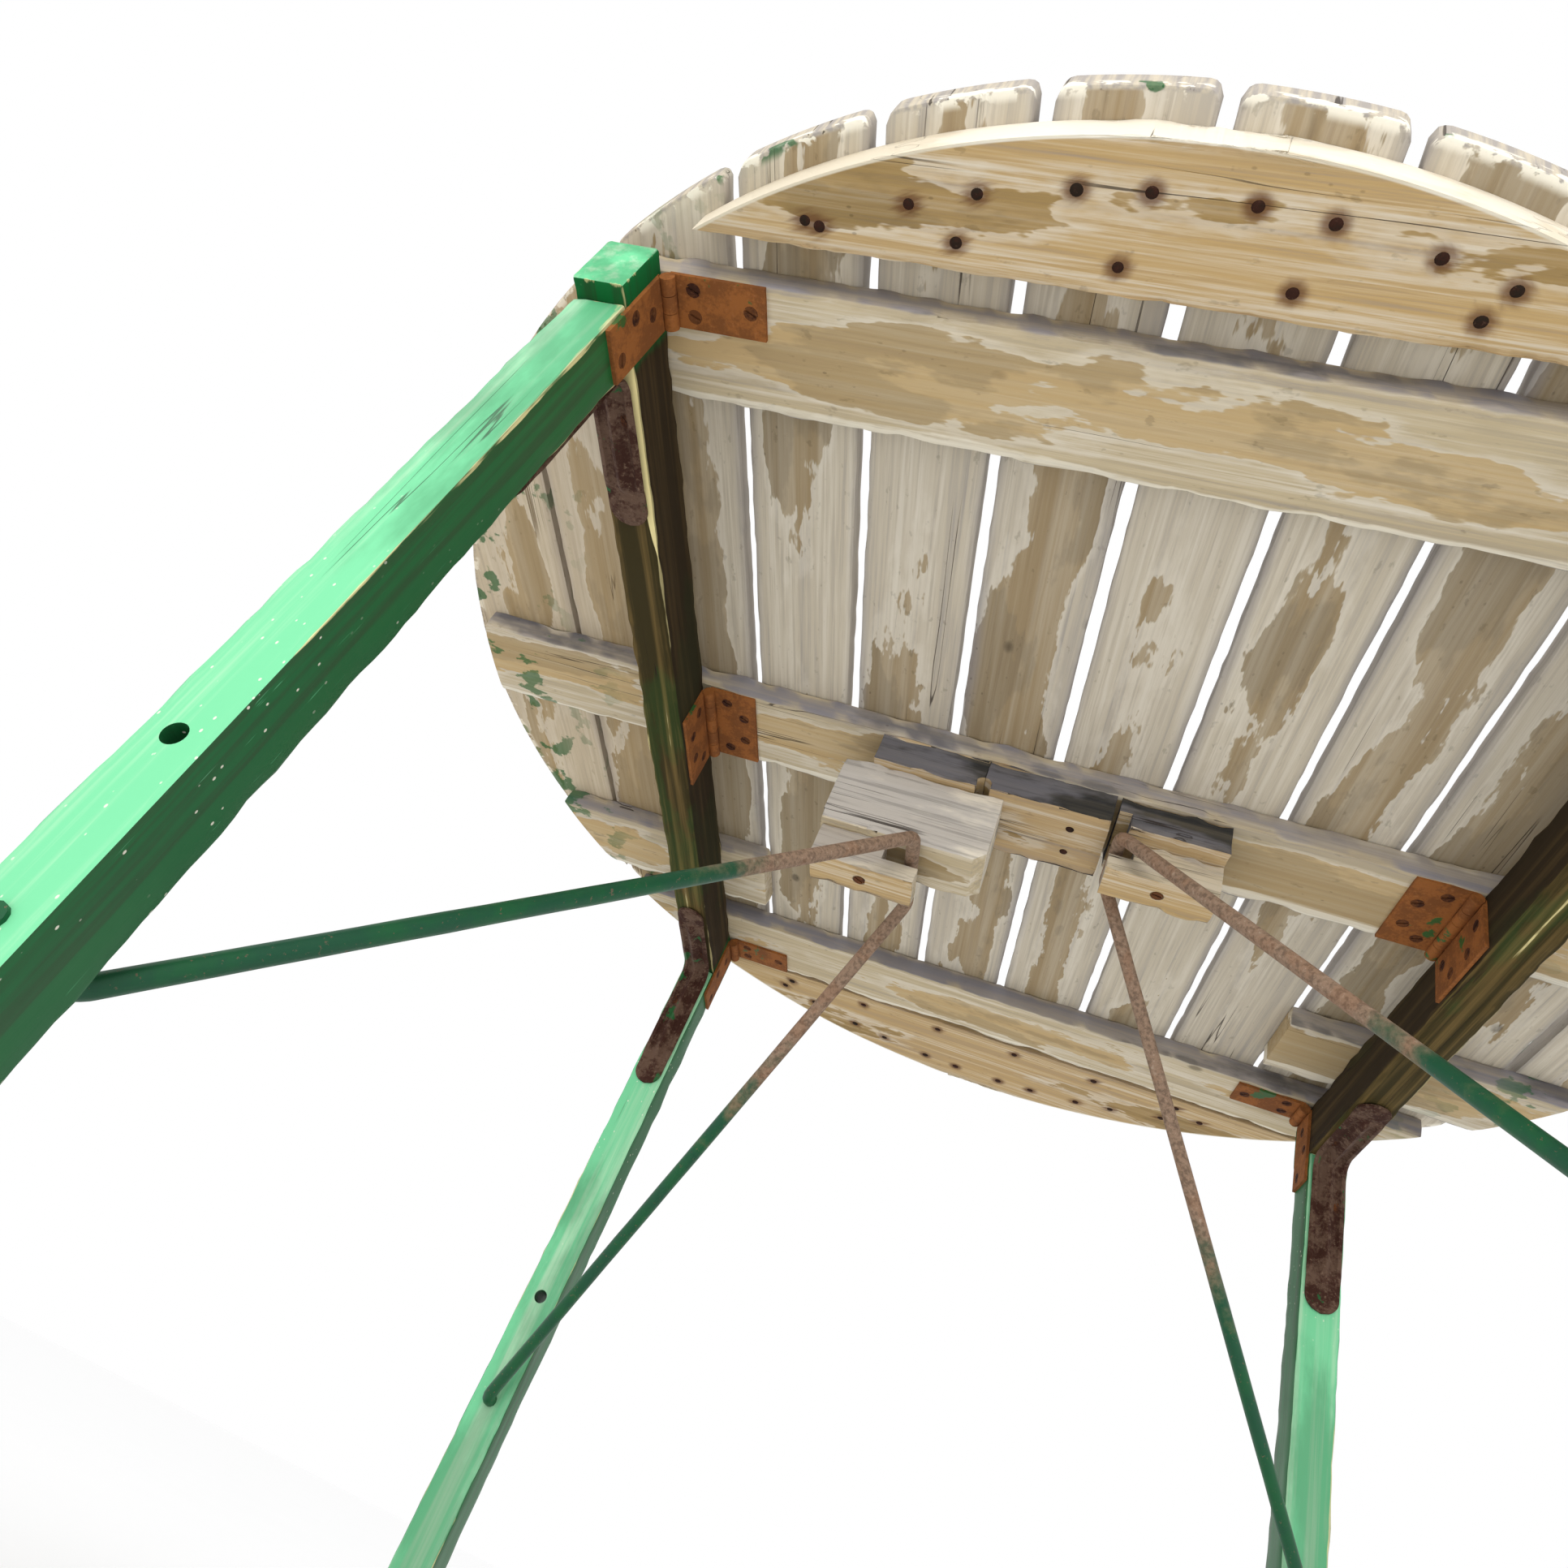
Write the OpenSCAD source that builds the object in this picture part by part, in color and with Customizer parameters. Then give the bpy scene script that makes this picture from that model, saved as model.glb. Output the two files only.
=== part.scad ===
// Round slatted garden table with two folding leg frames.
// X runs along the battens, Y along the slats, +Z is up, and the
// origin is on the floor under the middle of the top.

/* [Top] */
// Diameter of the round top
top_d = 1000; // [900:10:1200]
// Height of the upper face above the floor
table_h = 730; // [640:5:880]
// Thickness of the slats
slat_t = 14; // [10:1:20]
// Width of each inner slat; the two outer slats run out to the rim
slat_w = 73; // [60:1:88]
// Gap between two slats
slat_gap = 8; // [4:1:12]
// Gap beside the left outer slat
first_gap = 4; // [2:0.5:8]
// Small bevel around the rim
rim_bevel = 1.5; // [0.5:0.5:3]

/* [Battens] */
// Thickness of the battens and of the edge boards
batten_t = 18.5; // [15:0.5:25]
// How far the battens and edge boards stop short of the rim
batten_inset = 15; // [8:1:30]
// How much wider the near batten is than two legs side by side
near_batten_extra = 4; // [0:1:12]
// How much wider the far batten is than two legs side by side
far_batten_extra = 0; // [0:1:12]
// Width of the middle batten
middle_batten_w = 78; // [70:1:95]
// Gap between the near batten and its edge board
near_edge_gap = 26; // [10:1:40]
// Gap between the far batten and its edge board
far_edge_gap = 4; // [2:1:20]
// Width of the short battens
short_batten_w = 78; // [60:1:90]
// Distance of the short battens' inner ends from the middle
short_batten_x = 237; // [180:1:300]

/* [Leg frames] */
// Thickness of legs and rails across the hinge
leg_t = 32; // [26:1:40]
// Width of the legs along the rail
leg_w = 36; // [30:1:44]
// Height of the rails
rail_h = 46; // [40:1:60]
// How far a rail runs past its legs
rail_over = 11; // [4:1:20]
// Half the outer width of the left frame, leg face to leg face
left_half = 380; // [340:1:385]
// Free space between the nested frames
nest_gap = 3; // [2:0.5:8]
// Offset of both frames from the middle of the top
frame_y = -6; // [-10:1:10]
// Distance of the left hinge line from the middle
left_axis_x = 274.5; // [240:0.5:300]
// Distance of the right hinge line from the middle
right_axis_x = 287; // [240:0.5:310]
// Thickness of the tenons on the legs
tenon_t = 12; // [8:1:16]
// Shoulder at each side of a tenon
tenon_shoulder = 6; // [3:1:10]

/* [Braces] */
// Diameter of the brace rods
rod_d = 10; // [8:0.5:12]
// Clearance of a rod in its leg hole, on the diameter
rod_play = 0.15; // [0.1:0.05:0.2]
// Depth of the lower leg holes below the slats
hole_low = 482; // [440:1:520]
// Depth of the upper leg holes below the slats
hole_high = 400; // [360:1:430]
// Diameter of the spare leg holes
spare_hole_d = 10.6; // [9:0.1:13]
// How far the rod ends stand out of the legs
rod_end = 2; // [0:0.5:2]
// Straight lead of a rod before its leg hole
rod_lead = 12; // [8:1:20]
// Length of the left brace's crossbar
left_bar = 96; // [80:1:120]
// Length of the right brace's crossbar
right_bar = 70; // [60:1:90]

/* [Catches] */
// Thickness of the catch base
base_t = 25; // [18:1:32]
// Depth of the catch base along the slats
base_w = 70; // [50:1:76]
// Height of the spacer block of the left catch
spacer_h = 60; // [45:1:64]
// Depth of the spacer block along the slats
spacer_w = 50; // [40:1:60]
// Width of the keeper blocks along the slats
keeper_w = 32; // [24:1:40]
// Thickness of a keeper's lip under the crossbar
lip_t = 13; // [10:1:18]
// Free height above a crossbar
bar_over = 1.5; // [0.5:0.5:3]
// Free height under a crossbar, which lets it swing out
bar_under = 4.5; // [4:0.5:6]
// Distance of the left crossbar from the middle
left_bar_x = 80; // [70:1:90]
// Distance of the right crossbar from the middle
right_bar_x = 56; // [50:1:62]

/* [Hinges] */
// Thickness of the hinge leaves
leaf_t = 2.5; // [2:0.25:3]
// Diameter of the hinge knuckles
knuckle_d = 9; // [8:0.5:11]
// Diameter of the hinge pins
pin_d = 5; // [4:0.5:6]
// Play of a hinge pin in the leg leaves, on the diameter
pin_play = 0.1; // [0.05:0.05:0.2]
// Width of the end hinges along the pin
end_leaf_w = 32; // [26:1:36]
// Reach of the end hinges on the battens
end_leaf_reach = 58; // [45:1:70]
// Reach of the end hinges down the legs
leg_leaf_reach = 66; // [50:1:75]
// Width of the middle hinges along the pin
middle_leaf_w = 76; // [60:1:90]
// Reach of the middle hinges' leaves
middle_leaf_reach = 38; // [34:1:40]

/* [Brackets and fasteners] */
// Width of the corner brackets
bracket_w = 26; // [20:1:30]
// Reach of a bracket along the rail
bracket_rail = 115; // [90:1:130]
// Reach of a bracket down the leg
bracket_leg = 133; // [100:1:150]
// Thickness of the bracket metal
bracket_t = 4; // [3:0.5:6]
// Height of the bracket's middle rib
rib_h = 5; // [3:0.5:8]
// Diameter of the screw heads
screw_head = 8.8; // [7:0.2:10]
// Diameter of the screw shanks
screw_d = 4; // [3:0.2:5]
// Depth of the screws in the wood
screw_bite = 13; // [8:1:15]
// Diameter of the nail heads
nail_head = 6.5; // [5:0.5:8]
// Diameter of the nail shanks
nail_d = 2.8; // [2:0.2:4]
// Depth of the nails in the second board
nail_bite = 9; // [5:1:10]

/* [Hidden] */
$fn = 48;
eps = 0.01;
fit_gap = 0.3;              // between a moving piece and a still one
slats = 12;
under = table_h - slat_t;   // height of the slats' underside
pitch = slat_w + slat_gap;
rim_r = top_d / 2;
inner_r = rim_r - batten_inset;

// Catches, with depths counted down from the slats' underside
base_z = batten_t + base_t;
spacer_z = base_z + spacer_h;
left_bar_z = spacer_z + bar_over + rod_d / 2;
right_bar_z = base_z + bar_over + rod_d / 2;
slot = bar_over + rod_d + bar_under;
catch_y = frame_y - 2;
keeper_y = frame_y - 6;
base_edge = right_bar_x - 5;            // inner end of the right keeper
base_slit = 4;
base_half = base_edge - base_slit;      // the middle base is symmetric
base_end_l = 130;
base_end_r = 129;
spacer_x = [-152, -30];
spacer_bevel = 8;
keeper_l = [-150, -(left_bar_x - 7)];
keeper_r = [base_edge, 129];
keeper_solid_l = -100;                  // where the left lip begins
keeper_solid_r = base_edge + 17;        // where the right lip ends
thumb_r = 6;                            // rounded notch in the base

// Leg frames
axis_off = knuckle_d / 2 + 1;           // hinge line to wood faces
axis_z = batten_t + axis_off;
rail_top = batten_t + fit_gap;
rail_low = rail_top + rail_h;
right_half = left_half - leg_w - nest_gap;
leg_pair = 2 * leg_w + nest_gap;        // two nested legs

// Battens: [centre y, width, end nearer the middle or 0]
near_w = leg_pair + near_batten_extra;
far_w = leg_pair + far_batten_extra;
near_y = frame_y - left_half + 2 + near_w / 2;
far_y = frame_y + left_half - 2 - far_w / 2;
short_y = frame_y + 227;
near_edge_y = near_y - near_w / 2 - near_edge_gap;
far_edge_y = far_y + far_w / 2 + far_edge_gap;
long_battens = [[near_y, near_w], [frame_y, middle_batten_w], [far_y, far_w]];

// Hinges and screws
seg_gap = 0.4;                          // play between knuckles
bend_swell = 0.4;                       // a rod is a little thicker at a bend
sink = 2.4;                             // depth of a screw head
nail_cap = 1.2;                         // thickness of a nail head

// ---------- helpers ----------

// Everything under the top is drawn with depths from the slats' underside
module below_top() { translate([0, 0, under]) children(); }

// A box from its lowest to its highest corner
module block(lo, hi) { translate(lo) cube(hi - lo); }

// A frame is drawn on the left, with its inner face towards +X;
// the right one is its mirror image
module on_side(side) { mirror([side > 0 ? 1 : 0, 0, 0]) children(); }

// A round bar between two points
module bar(a, b, d) {
  v = b - a;
  translate(a) rotate([0, acos(v[2] / norm(v)), atan2(v[1], v[0])])
    cylinder(h = norm(v), d = d);
}

// Space of a countersunk screw that points up, with its head's face at z = 0
module screw_space(len) {
  translate([0, 0, -eps]) cylinder(h = eps, d = screw_head);
  cylinder(h = sink, d1 = screw_head, d2 = screw_d);
  cylinder(h = len, d = screw_d);
}

// A slotted countersunk screw; "turn" is the angle of its slot
module screw(len, turn = 0) {
  difference() {
    union() {
      cylinder(h = sink, d1 = screw_head, d2 = screw_d);
      cylinder(h = len, d = screw_d);
    }
    rotate([0, 0, turn])
      translate([-screw_head, -0.6, -1]) cube([2 * screw_head, 1.2, 2]);
  }
}

// ---------- nails ----------

function slat_lo(i) = i == 0 ? -rim_r : (i - slats / 2) * pitch + slat_gap / 2;
function slat_hi(i) = i == slats - 1 ? rim_r
  : (i + 1 - slats / 2) * pitch - slat_gap / 2 + (i == 0 ? slat_gap - first_gap : 0);
function slat_mid(i) = i == 0 ? slat_hi(0) - slat_w / 2
  : i == slats - 1 ? slat_lo(i) + slat_w / 2 : (slat_lo(i) + slat_hi(i)) / 2;

// Two nails, set on a slant, where a slat crosses a batten
function crossing(i, y) = [for (k = [-1, 1])
  [slat_mid(i) + k * slat_w / 4, y + k * 13]];
function in_round(p, r) = norm(p) < r;
top_nails = [for (i = [0 : slats - 1]) for (b = long_battens)
  for (p = crossing(i, b[0])) if (in_round(p, inner_r - 8)) p];
short_nails = [for (i = [0, 1, slats - 2, slats - 1])
  for (p = crossing(i, short_y))
    if (in_round(p, inner_r - 12) && abs(p[0]) > short_batten_x + 8) p];

// Edge boards: an outer row that follows the rim and an inner straight row
edge_row = 24;
function arc_y(x, r) = sqrt(max(0, r * r - x * x));
near_nails = concat(
  [for (i = [2 : slats - 3]) for (k = [-1, 1])
    let (x = slat_mid(i) + k * 17) if (arc_y(x, inner_r - edge_row) > -near_edge_y + 6)
      [x, -arc_y(x, inner_r - edge_row)]],
  [for (i = [3 : slats - 4]) let (x = slat_mid(i) + 9) [x, near_edge_y - 14]]);
far_nails = concat(
  [for (i = [2 : slats - 3]) for (k = [-1, 1])
    let (x = slat_mid(i) + k * 17) if (arc_y(x, inner_r - edge_row) > far_edge_y + 6)
      [x, arc_y(x, inner_r - edge_row)]],
  [for (i = [3 : slats - 4]) let (x = slat_mid(i) - 9) [x, far_edge_y + 16]]);

// A nail driven down from the upper face
module down_nail(d = nail_d, head = nail_head) {
  translate([0, 0, slat_t - nail_cap]) cylinder(h = nail_cap, d = head);
  translate([0, 0, -nail_bite]) cylinder(h = slat_t + nail_bite, d = d);
}

// A nail driven up through an edge board, with a low round head
module up_nail() {
  translate([0, 0, -batten_t - 0.8]) cylinder(h = 0.8, d1 = nail_head - 2, d2 = nail_head);
  translate([0, 0, -batten_t]) cylinder(h = batten_t + nail_bite, d = nail_d);
}

module slat_nails() {
  color("dimgray") below_top()
    for (p = concat(top_nails, short_nails)) translate(p) down_nail();
}

module edge_nails() {
  color("saddlebrown") below_top()
    for (p = concat(near_nails, far_nails)) translate(p) up_nail();
}

// ---------- top ----------

module disc() {
  rotate_extrude($fn = 180) polygon([
    [0, 0], [rim_r - rim_bevel, 0], [rim_r, rim_bevel],
    [rim_r, slat_t - rim_bevel], [rim_r - rim_bevel, slat_t], [0, slat_t]]);
}

module slat(i) {
  color("burlywood") below_top() difference() {
    intersection() {
      disc();
      block([slat_lo(i), -rim_r - 1, -1], [slat_hi(i), rim_r + 1, slat_t + 1]);
    }
    for (p = concat(top_nails, short_nails))
      if (p[0] > slat_lo(i) && p[0] < slat_hi(i)) translate(p) down_nail();
    for (p = concat(near_nails, far_nails))
      if (p[0] > slat_lo(i) && p[0] < slat_hi(i))
        translate([p[0], p[1], -1]) cylinder(h = nail_bite + 1, d = nail_d);
  }
}

// The part of the round that a batten may fill
module under_disc() { translate([0, 0, -batten_t]) cylinder(h = batten_t, r = inner_r, $fn = 180); }

module nail_holes(list) {
  for (p = list) translate([p[0], p[1], -nail_bite]) cylinder(h = nail_bite + 1, d = nail_d);
}

module batten(b) {
  color("tan") below_top() difference() {
    intersection() {
      under_disc();
      block([-rim_r, b[0] - b[1] / 2, -batten_t - 1], [rim_r, b[0] + b[1] / 2, 1]);
    }
    nail_holes([for (p = top_nails) if (abs(p[1] - b[0]) < b[1] / 2) p]);
    top_leaf_screw_spaces();
    if (b[0] == frame_y) base_screw_spaces();
  }
}
module batten_near() { batten(long_battens[0]); }
module batten_middle() { batten(long_battens[1]); }
module batten_far() { batten(long_battens[2]); }

module edge_board(y0, y1, list) {
  color("tan") below_top() difference() {
    intersection() {
      under_disc();
      block([-rim_r, y0, -batten_t - 1], [rim_r, y1, 1]);
    }
    for (p = list) translate([p[0], p[1], -batten_t - 1])
      cylinder(h = batten_t + 2, d = nail_d);
  }
}
module edge_board_near() { edge_board(-rim_r, near_edge_y, near_nails); }
module edge_board_far() { edge_board(far_edge_y, rim_r, far_nails); }

module short_batten(side) {
  color("tan") below_top() difference() {
    intersection() {
      under_disc();
      on_side(side) block([-rim_r, short_y - short_batten_w / 2, -batten_t - 1],
        [-short_batten_x, short_y + short_batten_w / 2, 1]);
    }
    nail_holes(short_nails);
  }
}
module short_batten_left() { short_batten(-1); }
module short_batten_right() { short_batten(1); }

// ---------- catches ----------

// Base screws go up through the keepers and blocks into the middle batten
left_keeper_screw = [-112, keeper_y];
right_keeper_screw = [90, keeper_y];
module base_screw_spaces() {
  translate([right_keeper_screw[0], right_keeper_screw[1], -base_z - 1])
    cylinder(h = base_t + 1 + 10, d = screw_d);
}

module catch_block(x0, x1) {
  block([x0, catch_y - base_w / 2, -base_z], [x1, catch_y + base_w / 2, -batten_t]);
}

// The rounded notch where the left and the middle base meet
module thumb_notch() {
  translate([-base_half, catch_y, -base_z + 3]) rotate([90, 0, 0])
    cylinder(h = base_w + 2, r = thumb_r, center = true);
}

module catch_base_left() {
  color("gray") below_top() difference() {
    catch_block(-base_end_l, -base_half);
    thumb_notch();
  }
}
module catch_base_middle() {
  color("gray") below_top() difference() {
    catch_block(-base_half, base_half);
    thumb_notch();
  }
}
module catch_base_right() {
  corner = [9, 12];
  color("gray") below_top() difference() {
    catch_block(base_edge, base_end_r);
    block([base_edge - 1, catch_y - base_w, -base_z - 1],
      [base_edge + corner[0], catch_y + base_w, -base_z + corner[1]]);
    base_screw_spaces();
  }
}

// The tall block that carries the left keeper, worn off at its inner lower edge
module catch_spacer() {
  y = [catch_y - spacer_w / 2 - 2, catch_y + spacer_w / 2 - 2];
  color("lightslategray") below_top() difference() {
    translate([0, y[1], -spacer_z]) rotate([90, 0, 0]) linear_extrude(y[1] - y[0])
      polygon([[spacer_x[0], 0], [spacer_x[1] - spacer_bevel, 0],
        [spacer_x[1], spacer_bevel], [spacer_x[1], spacer_h], [spacer_x[0], spacer_h]]);
    translate([left_keeper_screw[0], left_keeper_screw[1], -spacer_z - 1])
      cylinder(h = screw_bite + 1, d = screw_d);
  }
}

// A keeper is a solid block with a lip that runs on under the crossbar;
// x is the block's span, z0 the face it hangs from
module keeper_block(x, z0, screw_at) {
  color("burlywood") below_top() difference() {
    block([x[0], keeper_y - keeper_w / 2, -z0 - slot - lip_t],
      [x[1], keeper_y + keeper_w / 2, -z0]);
    translate([screw_at[0], screw_at[1], -z0 - slot - lip_t]) screw_space(slot + lip_t + 1);
  }
}
module keeper_lip(x, z0) {
  color("burlywood") below_top()
    block([x[0], keeper_y - keeper_w / 2, -z0 - slot - lip_t],
      [x[1], keeper_y + keeper_w / 2, -z0 - slot]);
}
module keeper_left() { keeper_block([keeper_l[0], keeper_solid_l], spacer_z, left_keeper_screw); }
module keeper_lip_left() { keeper_lip([keeper_solid_l, keeper_l[1]], spacer_z); }
module keeper_right() { keeper_block([keeper_solid_r, keeper_r[1]], base_z, right_keeper_screw); }
module keeper_lip_right() { keeper_lip([keeper_r[0], keeper_solid_r], base_z); }

module keeper_screws() {
  depth = slot + lip_t;
  translate([left_keeper_screw[0], left_keeper_screw[1], -spacer_z - depth])
    screw(depth + screw_bite, 40);
  translate([right_keeper_screw[0], right_keeper_screw[1], -base_z - depth])
    screw(depth + base_t + 10, 10);
}

// ---------- hinges ----------

// Screw places on a leaf: [reach from the hinge line, place along the pin]
end_top_holes = [[14, -8], [14, 8], [end_leaf_reach - 9, 0]];
end_leg_holes = [[16, 0], [36, -8], [leg_leaf_reach - 9, 6]];
middle_holes = [[14, -26], [28, -12], [28, 14], [14, 27]];

function axis_x(side) = side < 0 ? left_axis_x : right_axis_x;
function half_of(side) = side < 0 ? left_half : right_half;
function leg_y(side, end) = frame_y + end * (half_of(side) - leg_w / 2);
function hinge_ys(side) = [leg_y(side, -1), frame_y, leg_y(side, 1)];

// Knuckle pieces k = 0..count-1; the top leaf holds the even ones
module knuckles(w, count, first, d) {
  step = w / count;
  for (k = [first : 2 : count - 1])
    translate([0, -w / 2 + k * step + seg_gap / 2, 0]) rotate([-90, 0, 0])
      cylinder(h = step - seg_gap, d = d);
}

// A leaf lies along +X above the hinge line, its outer face at z = axis_off
module leaf(w, reach, count, first, holes, bore) {
  difference() {
    union() {
      block([0, -w / 2, axis_off - leaf_t], [reach, w / 2, axis_off]);
      knuckles(w, count, first, knuckle_d);
    }
    clearance_knuckles(w, count, 1 - first);
    translate([0, -w / 2 - 1, 0]) rotate([-90, 0, 0]) cylinder(h = w + 2, d = bore);
    for (h = holes) translate([h[0], h[1], axis_off - leaf_t]) screw_space(leaf_t + 1);
  }
}

// Room for the other leaf's knuckles, a little longer and thicker than they are
module clearance_knuckles(w, count, first) {
  step = w / count;
  for (k = [first : 2 : count - 1])
    translate([0, -w / 2 + k * step - seg_gap / 2, 0]) rotate([-90, 0, 0])
      cylinder(h = step + seg_gap, d = knuckle_d + 2 * seg_gap);
}

// Puts a hinge on its line
module at_hinge(side, k) {
  on_side(side) translate([-axis_x(side), hinge_ys(side)[k], -axis_z]) children();
}

module top_leaf(side, k) {
  color("peru") below_top() at_hinge(side, k)
    if (k == 1) leaf(middle_leaf_w, middle_leaf_reach, 5, 0, middle_holes, pin_d);
    else leaf(end_leaf_w, end_leaf_reach, 3, 0, end_top_holes, pin_d);
}

// Maps the leaf's reach to -Z and its outer face to -X
module down_leg() { multmatrix([[0, 0, -1, 0], [0, 1, 0, 0], [-1, 0, 0, 0]]) children(); }

module leg_leaf(side, k) {
  color("peru") below_top() at_hinge(side, k) down_leg()
    if (k == 1) leaf(middle_leaf_w, middle_leaf_reach, 5, 1, middle_holes, pin_d + pin_play);
    else leaf(end_leaf_w, leg_leaf_reach, 3, 1, end_leg_holes, pin_d + pin_play);
}

module hinge_pins(side) {
  color("dimgray") below_top() for (k = [0 : 2]) at_hinge(side, k) {
    w = k == 1 ? middle_leaf_w : end_leaf_w;
    rotate([90, 0, 0]) cylinder(h = w - seg_gap, d = pin_d, center = true);
  }
}

module top_screw_places() {
  for (side = [-1, 1]) for (k = [0 : 2]) at_hinge(side, k)
    for (h = k == 1 ? middle_holes : end_top_holes)
      translate([h[0], h[1], axis_off - leaf_t]) children();
}
module top_leaf_screw_spaces() { top_screw_places() cylinder(h = leaf_t + screw_bite, d = screw_d); }
module top_screws() {
  color("sienna") below_top() {
    top_screw_places() screw(leaf_t + screw_bite, 25);
    keeper_screws();
  }
}

module leg_screw_places(side) {
  for (k = [0 : 2]) at_hinge(side, k) down_leg()
    for (h = k == 1 ? middle_holes : end_leg_holes)
      translate([h[0], h[1], axis_off - leaf_t]) children();
}
module leg_leaf_screw_spaces(side) { leg_screw_places(side) cylinder(h = leaf_t + screw_bite, d = screw_d); }

// ---------- leg frames ----------

function face_x(side) = -axis_x(side) - axis_off;   // inner face, drawn on the left
function pivot_z(side) = side < 0 ? hole_low : hole_high;
function spare_z(side) = side < 0 ? hole_high : hole_low;

// A tenon, or with "over" the mortise that it fills
module tenon(side, end, over = 0) {
  x = face_x(side) - leg_t / 2;
  block([x - tenon_t / 2, leg_y(side, end) - leg_w / 2 + tenon_shoulder, -rail_low - max(over, eps)],
    [x + tenon_t / 2, leg_y(side, end) + leg_w / 2 - tenon_shoulder, -rail_top + over]);
}

module rail(side) {
  reach = half_of(side) + rail_over;
  color("olivedrab") below_top() difference() {
    on_side(side) difference() {
      block([face_x(side) - leg_t, frame_y - reach, -rail_low], [face_x(side), frame_y + reach, -rail_top]);
      for (end = [-1, 1]) tenon(side, end, 1);
    }
    leg_leaf_screw_spaces(side);
    bracket_screw_spaces(side);
  }
}

module rod_hole(side, end, z, d) {
  translate([face_x(side) - leg_t / 2, leg_y(side, end), -z]) rotate([90, 0, 0])
    cylinder(h = leg_w + 2, d = d, center = true);
}

module leg(side, end) {
  y = leg_y(side, end);
  color("seagreen") below_top() difference() {
    on_side(side) difference() {
      union() {
        block([face_x(side) - leg_t, y - leg_w / 2, -under], [face_x(side), y + leg_w / 2, -rail_low]);
        tenon(side, end);
      }
      rod_hole(side, end, pivot_z(side), rod_d + rod_play);
      rod_hole(side, end, spare_z(side), spare_hole_d);
    }
    leg_leaf_screw_spaces(side);
    bracket_screw_spaces(side);
  }
}

// ---------- corner brackets ----------

// Drawn in the corner of the far leg: +X is the way across, +Y away from
// the leg along the rail, -Z down the leg; the corner is the origin
bracket_round = bracket_w - 2;
screw_rail = [22, bracket_rail - bracket_round / 2];
screw_leg = [30, bracket_leg - bracket_round / 2];

module arm_profile(t) {
  // Both arms in one outline, with a round inner corner
  fillet = 14;
  difference() {
    polygon([[0, 0], [bracket_rail - bracket_round / 2, 0], [bracket_rail - bracket_round / 2, -t],
      [t + fillet, -t], [t, -t - fillet], [t, -bracket_leg + bracket_round / 2],
      [0, -bracket_leg + bracket_round / 2]]);
    translate([t + fillet, -t - fillet]) circle(r = fillet);
  }
}

module bracket_body() {
  difference() {
    union() {
      for (strip = [[bracket_w, bracket_t], [8, bracket_t + rib_h]])
        rotate([90, 0, 90]) linear_extrude(strip[0], center = true) arm_profile(strip[1]);
      translate([0, bracket_rail - bracket_round / 2, -bracket_t]) cylinder(h = bracket_t, d = bracket_round);
      translate([0, 0, -bracket_leg + bracket_round / 2]) rotate([-90, 0, 0])
        cylinder(h = bracket_t, d = bracket_round);
    }
    // The rib stops before the round ends
    translate([-bracket_w, bracket_rail - bracket_round - 4, -bracket_t - rib_h - 1])
      cube([2 * bracket_w, bracket_round + 5, rib_h + 1]);
    translate([-bracket_w, bracket_t, -bracket_leg - 1])
      cube([2 * bracket_w, rib_h + 1, bracket_round + 5]);
    bracket_places() screw_space(bracket_t + 1);
  }
}

// Screw places: the round ends and, beside the rib, one near the corner on each arm
module bracket_places() {
  translate([0, screw_rail[1], -bracket_t]) children();
  translate([bracket_w / 2 - 4.6, screw_rail[0] + 14, -bracket_t]) children();
  translate([0, bracket_t, -screw_leg[1]]) rotate([90, 0, 0]) children();
  translate([4.6 - bracket_w / 2, bracket_t, -screw_leg[0] - 14]) rotate([90, 0, 0]) children();
}

module at_corner(side, end) {
  on_side(side)
    translate([face_x(side) - leg_t / 2, leg_y(side, end) - end * leg_w / 2, -rail_low])
      mirror([0, end > 0 ? 1 : 0, 0]) children();
}

module bracket(side, end) { color("sienna") below_top() at_corner(side, end) bracket_body(); }
module frame_screws(side) {
  color("saddlebrown") below_top() {
    leg_screw_places(side) screw(leaf_t + screw_bite, 70);
    for (end = [-1, 1]) at_corner(side, end) bracket_places() screw(bracket_t + screw_bite, 60);
  }
}
module bracket_screw_spaces(side) {
  for (end = [-1, 1]) at_corner(side, end)
    bracket_places() cylinder(h = bracket_t + screw_bite, d = screw_d);
}

// ---------- braces ----------

// One side of a brace: crossbar end, bend before the leg and rod end, drawn on the left
function brace_points(side, end) =
  let (x = face_x(side) - leg_t / 2, z = -pivot_z(side),
    inner = half_of(side) - leg_w,
    bx = side < 0 ? -left_bar_x : -right_bar_x,
    bz = side < 0 ? -left_bar_z : -right_bar_z,
    hb = (side < 0 ? left_bar : right_bar) / 2)
  [[bx, catch_y + end * (hb - rod_d / 2), bz],
   [x, frame_y + end * (inner - rod_lead), z],
   [x, frame_y + end * (inner + leg_w + rod_end), z]];

module bend(p) { translate(p) sphere(d = rod_d + bend_swell); }

// The crossbar ends at the bends and keeps clear of the arms
module brace_bar(side) {
  near = brace_points(side, -1);
  far = brace_points(side, 1);
  color("seagreen") below_top() on_side(side) difference() {
    bar(near[0], far[0], rod_d);
    for (p = [near, far]) {
      bend(p[0]);
      bar(p[0], p[1], rod_d + bend_swell / 2);
    }
  }
}

module brace_arms(side) {
  color("seagreen") below_top() on_side(side) for (end = [-1, 1]) {
    p = brace_points(side, end);
    bar(p[0], p[1], rod_d);
    bar(p[1], p[2], rod_d);
    bend(p[0]);
    bend(p[1]);
  }
}

// ---------- the parts ----------

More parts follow.
